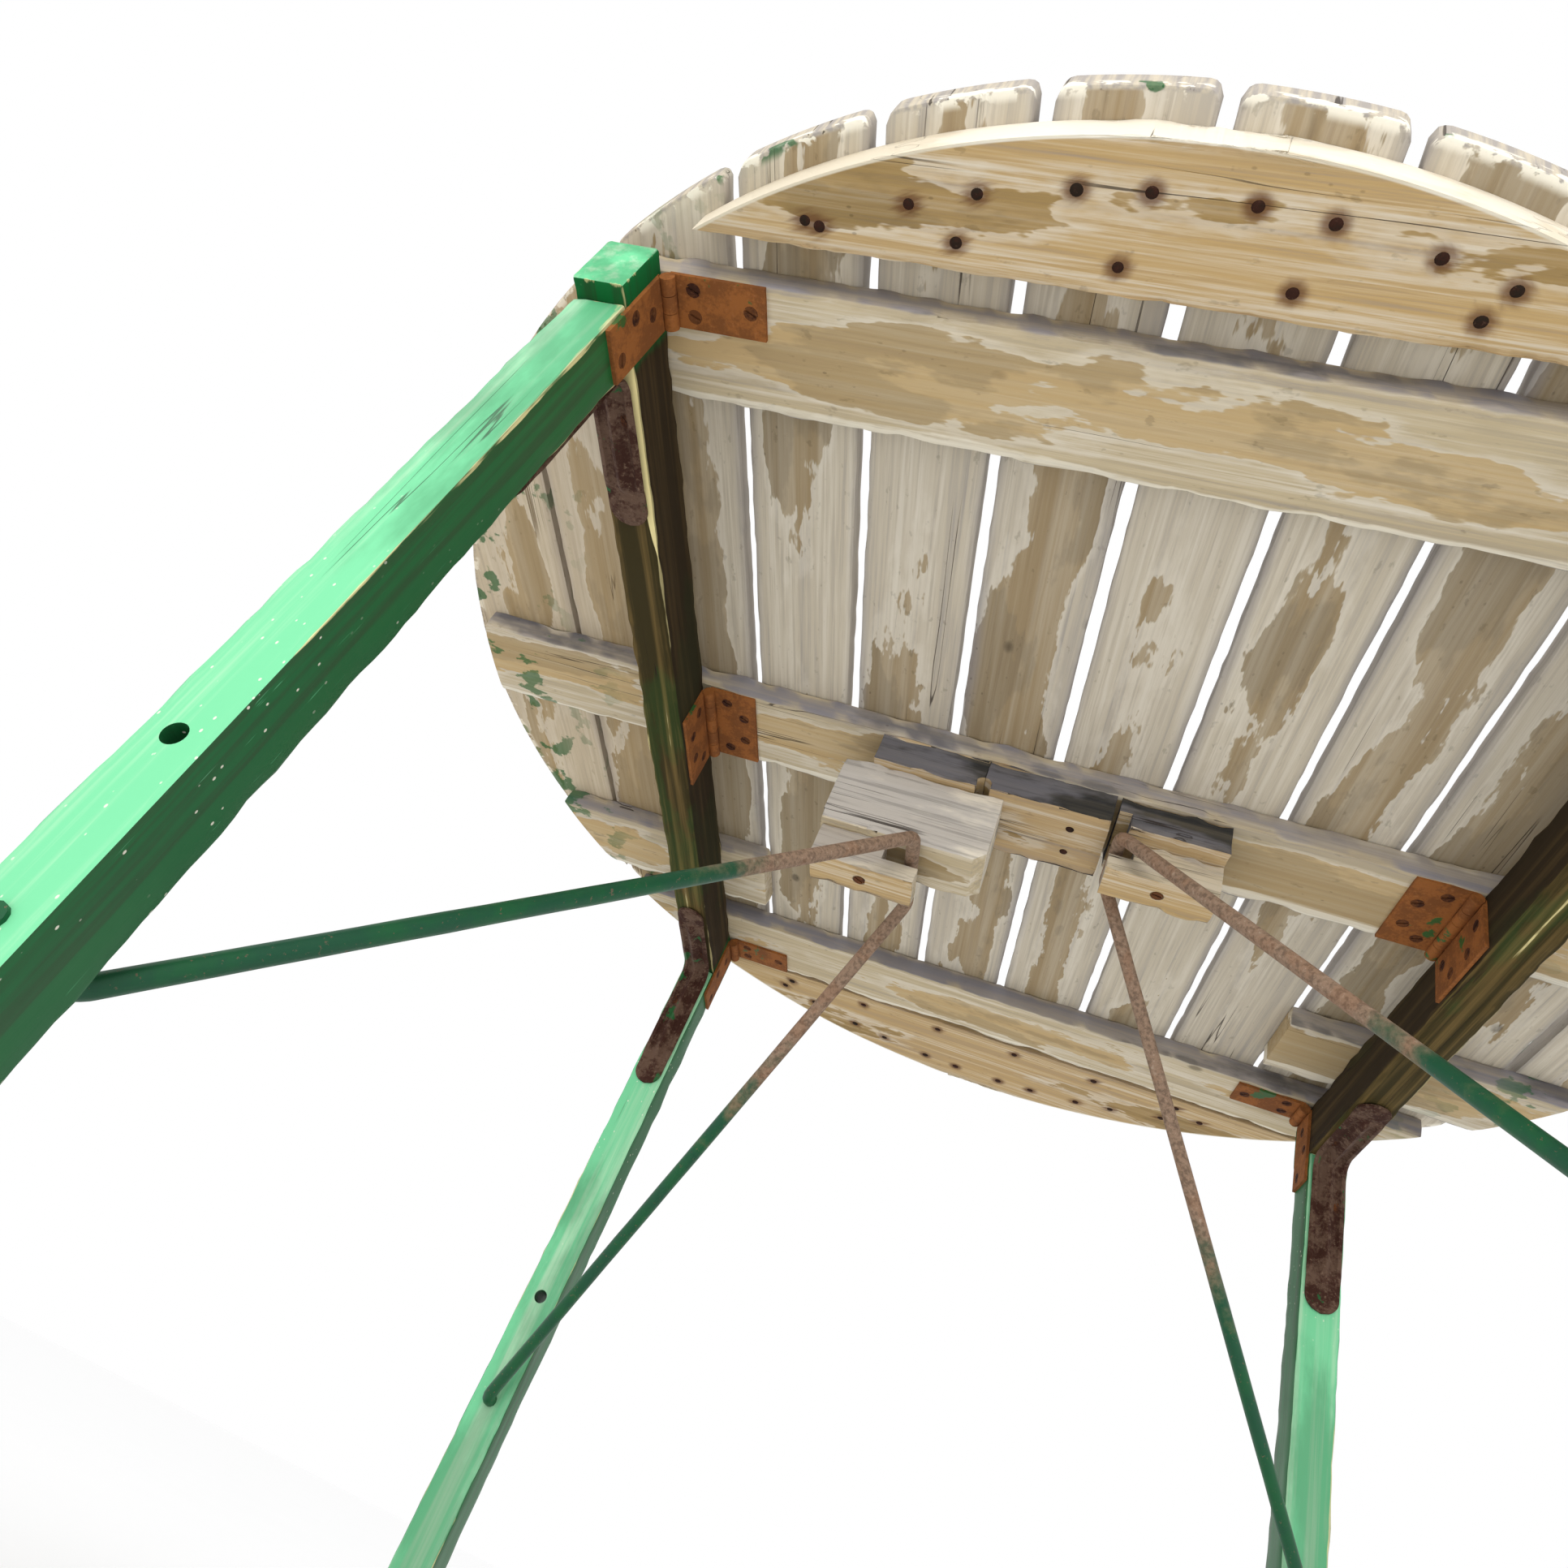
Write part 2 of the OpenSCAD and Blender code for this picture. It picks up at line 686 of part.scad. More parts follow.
slat(0);  // slat_1
slat(1);  // slat_2
slat(2);  // slat_3
slat(3);  // slat_4
slat(4);  // slat_5
slat(5);  // slat_6
slat(6);  // slat_7
slat(7);  // slat_8
slat(8);  // slat_9
slat(9);  // slat_10
slat(10);  // slat_11
slat(11);  // slat_12
batten_near();
batten_middle();
batten_far();
edge_board_near();
edge_board_far();
short_batten_left();
short_batten_right();
catch_base_left();
catch_base_middle();
catch_base_right();
catch_spacer();
keeper_left();
keeper_lip_left();
keeper_right();
keeper_lip_right();
rail(-1);  // left_rail
leg(-1, -1);  // left_leg_near
leg(-1, 1);  // left_leg_far
rail(1);  // right_rail
leg(1, -1);  // right_leg_near
leg(1, 1);  // right_leg_far
bracket(-1, -1);  // left_bracket_near
bracket(-1, 1);  // left_bracket_far
bracket(1, -1);  // right_bracket_near
bracket(1, 1);  // right_bracket_far
brace_bar(-1);  // left_brace_bar
brace_arms(-1);  // left_brace_arms
brace_bar(1);  // right_brace_bar
brace_arms(1);  // right_brace_arms
top_leaf(-1, 0);  // left_top_leaf_near
top_leaf(-1, 1);  // left_top_leaf_middle
top_leaf(-1, 2);  // left_top_leaf_far
top_leaf(1, 0);  // right_top_leaf_near
top_leaf(1, 1);  // right_top_leaf_middle
top_leaf(1, 2);  // right_top_leaf_far
leg_leaf(-1, 0);  // left_leg_leaf_near
leg_leaf(-1, 1);  // left_rail_leaf
leg_leaf(-1, 2);  // left_leg_leaf_far
leg_leaf(1, 0);  // right_leg_leaf_near
leg_leaf(1, 1);  // right_rail_leaf
leg_leaf(1, 2);  // right_leg_leaf_far
hinge_pins(-1);  // left_hinge_pins
hinge_pins(1);  // right_hinge_pins
slat_nails();
edge_nails();
top_screws();
frame_screws(-1);  // left_frame_screws
frame_screws(1);  // right_frame_screws
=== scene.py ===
"""Weathered finish and worn shapes for a round folding garden table.

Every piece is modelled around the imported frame, in its coordinates and in
metres: X along the battens, Y along the slats, Z up, the floor at zero.
"""

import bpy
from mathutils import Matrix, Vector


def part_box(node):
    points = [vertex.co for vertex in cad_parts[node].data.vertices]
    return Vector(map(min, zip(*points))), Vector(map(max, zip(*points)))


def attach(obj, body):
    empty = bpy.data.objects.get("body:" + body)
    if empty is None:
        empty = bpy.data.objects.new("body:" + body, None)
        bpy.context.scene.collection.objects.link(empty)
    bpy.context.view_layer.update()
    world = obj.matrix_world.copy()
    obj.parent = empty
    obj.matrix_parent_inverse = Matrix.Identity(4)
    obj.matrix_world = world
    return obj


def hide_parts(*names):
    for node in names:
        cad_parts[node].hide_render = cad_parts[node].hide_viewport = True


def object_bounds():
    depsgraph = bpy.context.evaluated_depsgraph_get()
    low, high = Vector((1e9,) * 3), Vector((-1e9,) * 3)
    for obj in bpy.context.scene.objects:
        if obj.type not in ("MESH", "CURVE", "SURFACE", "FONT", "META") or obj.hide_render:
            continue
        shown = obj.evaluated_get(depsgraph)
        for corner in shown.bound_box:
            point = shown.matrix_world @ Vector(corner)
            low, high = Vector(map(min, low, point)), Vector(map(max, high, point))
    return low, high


bl_info = {
    "name": "Folding garden table",
    "version": (1, 0, 0),
    "blender": (4, 5, 0),
    "location": "3D Viewport > Sidebar > Garden table",
    "description": "Round slatted garden table on two folding leg frames",
    "category": "Object",
}

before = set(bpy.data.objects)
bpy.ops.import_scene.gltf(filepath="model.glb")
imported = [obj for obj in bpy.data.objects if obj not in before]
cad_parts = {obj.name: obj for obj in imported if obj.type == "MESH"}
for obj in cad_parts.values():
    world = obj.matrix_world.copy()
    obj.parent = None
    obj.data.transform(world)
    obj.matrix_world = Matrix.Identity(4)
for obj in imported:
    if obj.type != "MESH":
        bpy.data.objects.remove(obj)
cad_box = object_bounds()

import math
import random

import bpy
from mathutils import Matrix, Vector

MM = 0.001
X, Y, Z = 0, 1, 2
SLATS = [f"slat_{i}" for i in range(1, 13)]
SLAT_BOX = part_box("slat_6")
UNDER = SLAT_BOX[0].z                      # height of the slats' underside
TOP = SLAT_BOX[1].z
RIM = (cad_box[1][0] - cad_box[0][0]) / 2  # radius of the round top
BATTEN_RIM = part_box("batten_middle")[1].x
BATTENS = ["batten_near", "batten_middle", "batten_far"]
SHORT_BATTENS = ["short_batten_left", "short_batten_right"]
EDGE_BOARDS = ["edge_board_near", "edge_board_far"]
SIDES = ("left", "right")
ENDS = {"near": -1, "far": 1}              # each end of a frame along Y
FRAME_MIDDLE = -6 * MM                     # the frames' middle along Y
CATCH_MIDDLE = -8 * MM                     # the crossbars' middle along Y
HALF_CROSSBAR = {"left": 43 * MM, "right": 30 * MM}
SPARE_HOLE = {"left": 0.316, "right": 0.234}   # height of the empty holes in the legs
SPARE_RADIUS = 5.3 * MM                    # radius of those holes
BRACKET_PLATE = 2 * MM                     # thickness of the pressed brackets
BRACKET_RING = 8.4 * MM                    # radius of the ring pressed into each round end
LEAN = 0.09                                # how far nail heads lean, in radians


# ---------- settings a user would change ----------

def colour(name, text, code):
    """A colour setting from an sRGB hex triplet."""
    parts = [int(code[i:i + 2], 16) / 255 for i in (0, 2, 4)]
    linear = [((c + 0.055) / 1.055) ** 2.4 if c > 0.04045 else c / 12.92 for c in parts]
    return bpy.props.FloatVectorProperty(
        name=name, description=text, default=linear, size=3, subtype="COLOR", min=0, max=1)


def length(name, text, value):
    """A length setting in metres."""
    return bpy.props.FloatProperty(
        name=name, description=text, default=value, min=0, unit="LENGTH", subtype="DISTANCE")


class TableWood(bpy.types.PropertyGroup):
    """Colours of the bare wood."""
    slat: colour("Slats", "Weathered wood of the slats", "c4b9a5")
    pale: colour("Bleached wood", "Pale bleached streaks", "ddd5c6")
    stain: colour("Water stain", "Ochre water stains", "8d7344")
    batten: colour("Battens", "Undersides of the battens", "bfae8c")
    shade: colour("Weathered grey", "Blue-grey sides of the battens", "838086")
    edge: colour("Edge boards", "Tan wood of the edge boards", "bb9c68")
    dark: colour("Dark wood", "Almost black wood of the catch blocks", "292929")
    rail: colour("Rails", "Olive-brown wood of the rails", "352d14")
    raw: colour("Raw wood", "Pale yellow wood under chips and splinters", "e6d79c")
    crack: colour("Cracks", "Dirt in cracks and joints", "2a1f17")


class TablePaint(bpy.types.PropertyGroup):
    """Colours of paint and rust."""
    green: colour("Green paint", "Deep green paint of the legs", "0a5c2b")
    # Pale green of scratches and old paint, also used as painted sunlight on the legs' near faces
    chalk: colour("Chalky green", "Sun-bleached green on the near faces", "72cd97")
    rod: colour("Rod green", "Dark green paint of the braces", "0d4a30")
    cream: colour("Cream paint", "Old cream paint on the rim", "f2ecdc")
    rust: colour("Rust", "Orange rust of the hinges", "91592b")
    rust_dark: colour("Dark rust", "Brown rust of brackets and nails", "3a2017")
    rust_pale: colour("Dry rust", "Pale dry rust where rods rub", "937a66")


class TableSizes(bpy.types.PropertyGroup):
    """Sizes of wear and small parts."""
    arris: length("Worn edge", "Width of the rounded edges of the wood", 1.6 * MM)
    corner: length("Slat corner", "Radius of the slats' corners at the rim", 7 * MM)
    rod: length("Rod", "Diameter of the brace rods", 10 * MM)
    bend: length("Rod bend", "Radius of the rods' bends", 13 * MM)
    nail: length("Nail head", "Diameter of the nail heads in the top", 6.5 * MM)


class TableLook(bpy.types.PropertyGroup):
    """All settings of the table."""
    wood: bpy.props.PointerProperty(name="Wood", type=TableWood)
    paint: bpy.props.PointerProperty(name="Paint", type=TablePaint)
    sizes: bpy.props.PointerProperty(name="Sizes", type=TableSizes)


def look():
    return bpy.context.scene.garden_table


def hue(name):
    """A colour setting as the four numbers a node socket takes."""
    group = look().wood if name in TableWood.__annotations__ else look().paint
    return (*getattr(group, name), 1)


def between(first, second, share):
    """A colour part of the way from one to another."""
    return tuple(a + (b - a) * share for a, b in zip(first, second))


# ---------- materials ----------

class Value:
    """A node's output that Python's arithmetic works on."""

    def __init__(self, paint, socket):
        self.paint, self.socket = paint, socket

    def _math(self, operation, *terms):
        return self.paint.node(
            "ShaderNodeMath", {"operation": operation}, dict(enumerate(terms)))

    def __add__(self, other):
        return self._math("ADD", self, other)

    def __radd__(self, other):
        return self._math("ADD", other, self)

    def __sub__(self, other):
        return self._math("SUBTRACT", self, other)

    def __rsub__(self, other):
        return self._math("SUBTRACT", other, self)

    def __mul__(self, other):
        return self._math("MULTIPLY", self, other)

    def __rmul__(self, other):
        return self._math("MULTIPLY", other, self)

    def __abs__(self):
        return self._math("ABSOLUTE", self)

    def top(self, other):
        """The larger of two outputs."""
        return self._math("MAXIMUM", self, other)


class Finish:
    """One material: its node tree and the ways to add to it."""

    def __init__(self, name, rough=0.85, metal=0.0, specular=0.3):
        self.material = bpy.data.materials.new(name)
        self.material.use_nodes = True
        self.tree = self.material.node_tree
        self.shader = self.tree.nodes["Principled BSDF"]
        self.shader.inputs["Roughness"].default_value = rough
        self.shader.inputs["Metallic"].default_value = metal
        self.shader.inputs["Specular IOR Level"].default_value = specular
        self.place = self.node("ShaderNodeTexCoord", out="Object")
        self.facing = self.node("ShaderNodeTexCoord", out="Normal")

    def node(self, kind, settings=None, inputs=None, out=0):
        """Adds a node: its settings first, then the values or links of its sockets."""
        node = self.tree.nodes.new(kind)
        for key, value in (settings or {}).items():
            setattr(node, key, value)
        for key, value in (inputs or {}).items():
            if isinstance(value, Value):
                self.tree.links.new(value.socket, node.inputs[key])
            else:
                node.inputs[key].default_value = value
        return Value(self, node.outputs[out])

    def mix(self, mask, below, above):
        """Lays one colour over another where the mask is 1."""
        return self.node("ShaderNodeMix", {"data_type": "RGBA"},
                         {0: mask, 6: below, 7: above}, out=2)

    def attribute(self, name, out="Fac"):
        return self.node("ShaderNodeAttribute", {"attribute_name": name}, out=out)

    def parts(self, vector):
        """The three numbers of a vector."""
        split = self.node("ShaderNodeSeparateXYZ", inputs={0: vector})
        return [Value(self, socket) for socket in split.socket.node.outputs]

    def stretch(self, at, scale):
        """The place at which a pattern is read, stretched along the board's axes."""
        return self.node("ShaderNodeVectorMath", {"operation": "MULTIPLY"}, {0: at, 1: scale})

    def from_middle(self):
        """Distance from the middle of the round top."""
        flat = self.stretch(self.place, (1, 1, 0))
        return self.node("ShaderNodeVectorMath", {"operation": "LENGTH"}, {0: flat}, out="Value")

    def clouds(self, at, scale, detail=4, rough=0.55, bend=0.0):
        """Soft noise, 0 to 1, at a stretched place."""
        return self.node("ShaderNodeTexNoise", inputs={
            "Vector": self.stretch(at, scale), "Scale": 1.0, "Detail": detail,
            "Roughness": rough, "Distortion": bend})

    def cells(self, at, scale):
        """Distance from the nearest of many scattered points."""
        return self.node("ShaderNodeTexVoronoi", inputs={
            "Vector": self.stretch(at, scale), "Scale": 1.0}, out="Distance")

    def step(self, value, low, high, start=0.0, end=1.0):
        """Goes smoothly from start to end as the value goes from low to high."""
        return self.node("ShaderNodeMapRange", {"interpolation_type": "SMOOTHSTEP"}, {
            "Value": value, "From Min": low, "From Max": high, "To Min": start, "To Max": end})

    def finish(self, base, height=None, depth=0.4, rough=None):
        """Links the colour, the relief with its depth in millimetres, and the roughness."""
        link = self.tree.links.new
        link(base.socket, self.shader.inputs["Base Color"])
        if rough is not None:
            link(rough.socket, self.shader.inputs["Roughness"])
        if height is not None:
            bump = self.node("ShaderNodeBump", inputs={
                "Height": height, "Strength": 1.0, "Distance": depth * MM}, out="Normal")
            link(bump.socket, self.shader.inputs["Normal"])
        return self.material


def grain_patterns(f):
    """What every board shares: its grain, its cracks, and how near its edges are."""
    g = {"at": f.attribute("grain", "Vector")}
    across, _, g["tone"] = f.parts(f.attribute("across", "Vector"))
    g["across"], g["side"] = across, f.step(abs(across), 0.93, 0.97)
    g["arris"] = f.attribute("arris")
    g["fibre"] = f.clouds(g["at"], (9, 420, 420), 5, 0.62)
    g["streak"] = f.clouds(g["at"], (2.0, 95, 95), 5, 0.62, 0.12)
    g["patch"] = f.clouds(g["at"], (3.6, 11, 11), 6, 0.6)
    line = f.clouds(g["at"], (1.1, 46, 46), 3, 0.55, 0.1)
    where = f.step(f.clouds(g["at"], (3, 16, 16), 2), 0.57, 0.63)
    g["crack"] = f.step(abs(line - 0.5), 0.006, 0.001) * where
    dots = f.cells(g["at"], (75, 130, 130))
    g["specks"] = f.step(dots, 0.13, 0.06) * f.step(g["patch"], 0.55, 0.62)
    rings = f.cells(g["at"], (8, 13, 13))
    g["knot"] = f.step(rings, 0.07, 0.03) * f.step(g["patch"], 0.44, 0.5)
    return g


def bare_wood(name, base, tan, stain_from=0.445, sides=None, edge_grey=0.55):
    """Weathered boards: grey-beige fibres, ochre stains with a pale fringe, cracks and knots."""
    f = Finish(name, rough=0.86, specular=0.25)
    g = grain_patterns(f)
    pale, crack = hue("pale"), hue("crack")
    tone = f.mix(f.step(g["fibre"], 0.38, 0.62), base, pale)
    base = f.mix(f.step(g["fibre"], 0.5, 0.34) * 0.3, base, hue("shade"))
    wood = f.mix(f.step(g["streak"], 0.42, 0.62) * 0.6, base, tone)
    wood = f.mix(f.step(g["streak"], 0.47, 0.36) * 0.2 + g["tone"] * 0.12, wood, hue("shade"))
    # Stains keep to the middle of a board, with ragged edges and a bleached fringe
    middle = g["across"] * g["across"] * 0.24
    ragged = g["patch"] + (g["fibre"] - 0.5) * 0.05 - middle + (g["tone"] - 0.5) * 0.08
    stain = f.step(ragged, stain_from, stain_from + 0.012)
    fringe = f.step(ragged, stain_from - 0.06, stain_from - 0.004) - stain
    wood = f.mix(fringe.top(0) * 0.4, wood, pale)
    brown = f.mix(f.step(g["streak"], 0.35, 0.65) * 0.35, tan, base)
    deeper = f.step(g["patch"], stain_from + 0.08, stain_from + 0.11)
    brown = f.mix(deeper * 0.3, brown, hue("rail"))
    wood = f.mix(stain * 0.72, wood, brown)
    # Dirt scuffs, and greyer wood towards the board's long edges by the gaps
    scuff = f.step(f.clouds(g["at"], (70, 140, 140), 3, 0.6), 0.64, 0.71)
    wood = f.mix(scuff * 0.22, wood, hue("rail"))
    # Greyer towards the board's long edges, by the gaps between boards
    edge = f.step(abs(g["across"]) + (g["patch"] - 0.5) * 0.5, 0.78, 1.05)
    wood = f.mix(edge * edge_grey, wood, hue("shade"))
    if sides:
        wood = f.mix(g["side"], wood, f.mix(f.step(g["streak"], 0.35, 0.65) * 0.4, sides, base))
        grime = f.step(g["patch"], 0.53, 0.6) * g["side"]
        wood = f.mix(grime * 0.5, wood, hue("dark"))
    wood = f.mix(g["knot"] * 0.55, wood, crack)
    wood = f.mix(g["specks"] * 0.35, wood, crack)
    halo = f.step(f.attribute("rust"), 0.05, 0.6) * f.step(g["streak"], 0.2, 0.5)
    wood = f.mix(halo * 0.8, wood, between(hue("rust_dark"), hue("rust"), 0.3))
    wood = f.mix(g["crack"] * 0.8, wood, crack)
    return f, g, wood


def relief(g, cracks=1.0):
    return g["fibre"] * 0.55 + g["streak"] * 0.6 - g["crack"] * cracks - g["knot"] * 0.25


def slat_wood():
    """Slats: bare underneath, worn green paint left on top, cream paint at the rim."""
    f, g, wood = bare_wood("slat_wood", hue("slat"), hue("stain"))
    x, _, z = f.parts(f.place)
    radius = f.from_middle()
    rim = f.step(radius, RIM - 3.2 * MM, RIM - 1.2 * MM)
    saw = f.clouds(f.place, (260, 260, 25), 3)
    sawn = between(hue("shade"), hue("slat"), 0.4)
    end = f.mix(f.step(saw, 0.35, 0.65), sawn, hue("slat"))
    gaps = f.step(f.clouds(f.place, (170, 170, 8), 2), 0.36, 0.33)
    wood = f.mix(rim, wood, f.mix(gaps * 0.8, end, hue("crack")))
    daub = f.step(f.clouds(f.place, (60, 60, 200), 4), 0.5, 0.54)
    lip = f.step(radius, RIM - 7 * MM, RIM - 2 * MM) * f.step(z, UNDER + 6 * MM, UNDER + 3 * MM)
    wood = f.mix(lip * daub * 0.9, wood, hue("cream"))
    leaf = f.step(f.clouds(f.place, (34, 34, 34), 4), 0.6, 0.63)
    wood = f.mix(lip * leaf * 0.8, wood, hue("green"))
    # The left slats are tanner, with green smeared along their rim
    left_side = f.step(x, -0.2, -0.42)
    wood = f.mix(left_side * 0.28, wood, hue("edge"))
    smear = f.step(f.clouds(f.place, (30, 26, 60), 5), 0.57, 0.6)
    smear = smear * f.step(radius, RIM - 0.11, RIM - 0.02)
    wood = f.mix(smear * left_side * 0.8, wood, hue("green"))
    # The upper face keeps some of its paint in the grain
    above = f.step(z, TOP - 1.5 * MM, TOP - 0.3 * MM)
    left = f.step(g["patch"] + (g["fibre"] - 0.5) * 0.5, 0.5, 0.56)
    wood = f.mix(above * 0.45, wood, hue("shade"))
    thin = f.mix(0.5, hue("chalk"), hue("green"))
    wood = f.mix(above * left * 0.62, wood, thin)
    return f.finish(wood, relief(g), 0.5)


def batten_wood():
    f, g, wood = bare_wood("batten_wood", hue("batten"), hue("edge"),
                           stain_from=0.44, sides=hue("shade"), edge_grey=0.2)
    # The far edges are splintered and bleached
    rough_edge = f.step(g["across"] + (g["patch"] - 0.5) * 0.7, 0.8, 0.84)
    rough_edge = rough_edge * f.step(g["streak"], 0.35, 0.5)
    wood = f.mix(rough_edge * (1 - g["side"]) * 0.6, wood, hue("cream"))
    x = f.parts(f.place)[X]
    daub = f.step(f.clouds(f.place, (26, 40, 40), 5), 0.57, 0.6) * f.step(abs(x), 0.33, 0.45)
    wood = f.mix(daub * 0.75, wood, hue("green"))
    return f.finish(wood, relief(g), 0.6)


def edge_wood():
    f, g, wood = bare_wood("edge_wood", hue("edge"), hue("stain"),
                           stain_from=0.54, edge_grey=0.15)
    radius = f.from_middle()
    # The outer rim face is made near-white: old cream paint brightened as painted sunlight, with
    # patches of bare tan
    out = f.step(radius, BATTEN_RIM - 2 * MM, BATTEN_RIM - 1 * MM)
    sunlit = between(hue("pale"), hue("cream"), 0.55)
    worn = f.mix(f.step(g["patch"], 0.52, 0.58) * 0.4, sunlit, hue("batten"))
    return f.finish(f.mix(out * 0.9, wood, worn), relief(g), 0.5)


def block_wood(name, base, faces, mixed=0.5):
    """Catch blocks: their upright faces are another colour than their undersides."""
    f, g, wood = bare_wood(name, base, hue("stain"), stain_from=0.54, edge_grey=0.1)
    upright = f.step(abs(f.parts(f.facing)[Z]), 0.6, 0.4)
    face = f.mix(f.step(g["streak"], 0.35, 0.7) * mixed, faces, hue("batten"))
    face = f.mix(f.step(g["patch"], 0.47, 0.55) * 0.5, face, hue("shade"))
    face = f.mix(f.step(g["fibre"], 0.5, 0.36) * 0.3, face, hue("dark"))
    face = f.mix(f.step(g["patch"], 0.44, 0.38) * 0.45, face, hue("dark"))
    wood = f.mix(upright, wood, f.mix(g["crack"] * 0.9, face, hue("crack")))
    return f.finish(wood, relief(g, 1.4), 0.8)


def green_wood(name="green_leg", rail=False):
    """Painted legs and rails: the faces turned to the near side get pale chalky green, painted
    sunlight over partly bleached paint; worn to pale wood on the edges.
    """
    f = Finish(name, rough=0.5, specular=0.12 if rail else 0.4)
    g = grain_patterns(f)
    x, y, z = f.parts(f.facing)
    # Faces turned to the near side get the pale green: painted sunlight, along with some real
    # bleaching of the paint
    lit_bleached_side = f.step(y, -0.55, -0.85)
    blotch = f.step(g["patch"], 0.4, 0.6)
    deep = f.mix(blotch * 0.4, hue("green"), between(hue("green"), hue("rod"), 0.45))
    lit_bleached_green = f.mix(f.step(g["streak"], 0.45, 0.66) * 0.3, hue("chalk"), hue("cream"))
    lit_bleached_green = f.mix(f.step(g["patch"], 0.56, 0.42) * 0.45, lit_bleached_green, hue("green"))
    deep = f.mix(f.step(g["streak"], 0.5, 0.38) * 0.4, deep, hue("crack"))
    coat = f.mix(lit_bleached_side, deep, lit_bleached_green)
    # Fine slanting scratches
    slant = f.node("ShaderNodeMapping", inputs={
        "Vector": g["at"], "Rotation": (0.5, 0.35, 0.9), "Scale": (30, 900, 900)})
    scratch = f.node("ShaderNodeTexNoise", inputs={"Vector": slant, "Scale": 1.0, "Detail": 2.0})
    scratched = f.step(scratch, 0.7, 0.74) * f.step(g["patch"], 0.45, 0.6)
    coat = f.mix(scratched * 0.35, coat, hue("chalk"))
    flake = f.step(f.cells(g["at"], (120, 190, 190)), 0.13, 0.08) * f.step(g["patch"], 0.5, 0.6)
    coat = f.mix(flake * 0.7, coat, hue("cream"))
    bare = f.mix(f.step(g["streak"], 0.35, 0.65), hue("raw"), hue("batten"))
    worn = f.step(g["arris"] + (g["streak"] - 0.5) * 9 * MM + (g["patch"] - 0.5) * 9 * MM,
                  1.2 * MM, 0.6 * MM)
    if rail:
        px, py, _ = f.parts(f.place)
        olive = f.mix(f.step(g["streak"], 0.42, 0.64) * 0.5, hue("rail"), hue("stain"))
        olive = f.mix(f.step(g["streak"], 0.62, 0.72) * 0.5, olive, hue("slat"))
        olive = f.mix(f.step(g["patch"], 0.54, 0.6) * 0.2, olive, hue("green"))
        olive = f.mix(g["crack"] * 0.9, olive, hue("crack"))
        # Faces turned along X are darkened towards the crack colour: painted shade on the rail's
        # sides
        olive = f.mix(f.step(abs(x), 0.6, 0.9) * 0.7, olive, hue("crack"))
        inner = f.step(abs(py - FRAME_MIDDLE) + (g["patch"] - 0.5) * 0.03, 0.345, 0.335)
        coat = f.mix(inner, coat, olive)
        splinter = f.step(g["streak"] + (g["fibre"] - 0.5) * 0.3, 0.62, 0.66)
        coat = f.mix(splinter * f.step(g["patch"], 0.55, 0.6) * 0.8, coat, hue("raw"))
        # A long pale yellow wedge on the rail's underside beside the near left corner
        inner_edge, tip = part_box("left_rail")[1].x, -0.19
        wedge = f.step(px + (tip - py) * 0.1, inner_edge, inner_edge + 0.5 * MM)
        wedge = wedge * f.step(z, -0.6, -0.8)
        leg_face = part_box("left_leg_near")[1].y
        wedge = wedge * f.step(px, inner_edge + 5 * MM, inner_edge + 3 * MM)
        wedge = wedge * f.step(py, tip, tip - 2 * MM) * f.step(py, leg_face - 2 * MM, leg_face)
        coat = f.mix(wedge, coat, hue("raw"))
        worn = worn * 0.6
    coat = f.mix(worn * 0.7, coat, bare)
    coat = f.mix(g["crack"] * 0.7, coat, hue("crack"))
    height = g["fibre"] * 0.25 + g["streak"] * 0.5 - g["crack"] - worn * 0.3 - flake * 0.3
    smooth, dull = (0.75, 0.9) if rail else (0.42, 0.62)
    return f.finish(coat, height, 0.35, rough=f.step(g["patch"], 0.35, 0.65, smooth, dull))


def rusty_iron(name, base, dark, paint_left=0.62, metal=0.1, dry=0.15, spots=1.0):
    """Rusted iron with islands of old green paint."""
    f = Finish(name, rough=0.75, metal=metal, specular=0.2)
    broad = f.clouds(f.place, (55, 55, 55), 6, 0.65)
    fine = f.clouds(f.place, (420, 420, 420), 4, 0.7)
    coat = f.mix(f.step(broad + (fine - 0.5) * 0.5, 0.6, 0.4) * spots, base, dark)
    coat = f.mix(f.step(fine, 0.58, 0.7) * dry, coat, hue("rust_pale"))
    left = f.step(f.clouds(f.place, (38, 38, 30), 5, 0.6), paint_left, paint_left + 0.03)
    coat = f.mix(left * 0.85, coat, hue("green"))
    height = broad * 0.5 + fine * 0.5 + left * 0.4
    return f.finish(coat, height, 0.25, rough=f.step(left, 0, 1, 0.8, 0.5))


def painted_rod():
    """Braces: dark green paint with rust flecks, rubbed to dry rust near the catch."""
    f = Finish("painted_rod", rough=0.55, metal=0.2, specular=0.4)
    height = f.parts(f.place)[Z]
    broad = f.clouds(f.place, (40, 40, 40), 5, 0.6)
    fine = f.clouds(f.place, (300, 300, 300), 4, 0.7)
    green = f.mix(f.step(broad, 0.4, 0.65) * 0.5, hue("rod"), hue("green"))
    rust = f.mix(f.step(fine, 0.45, 0.62) * 0.45, hue("rust_pale"), hue("crack"))
    rust = f.mix(f.step(broad, 0.5, 0.6) * 0.16, rust, hue("rust"))
    rust = f.mix(f.step(fine, 0.4, 0.33) * 0.15, rust, hue("pale"))
    fleck = f.step(fine, 0.62, 0.68)
    rubbed = f.step(height + (broad - 0.5) * 0.16, 0.44, 0.5)
    mask = rubbed.top(fleck * 0.7)
    coat = f.mix(mask, green, rust)
    return f.finish(coat, fine * 0.6 + (1 - mask) * 0.4, 0.2, rough=f.step(mask, 0, 1, 0.45, 0.85))


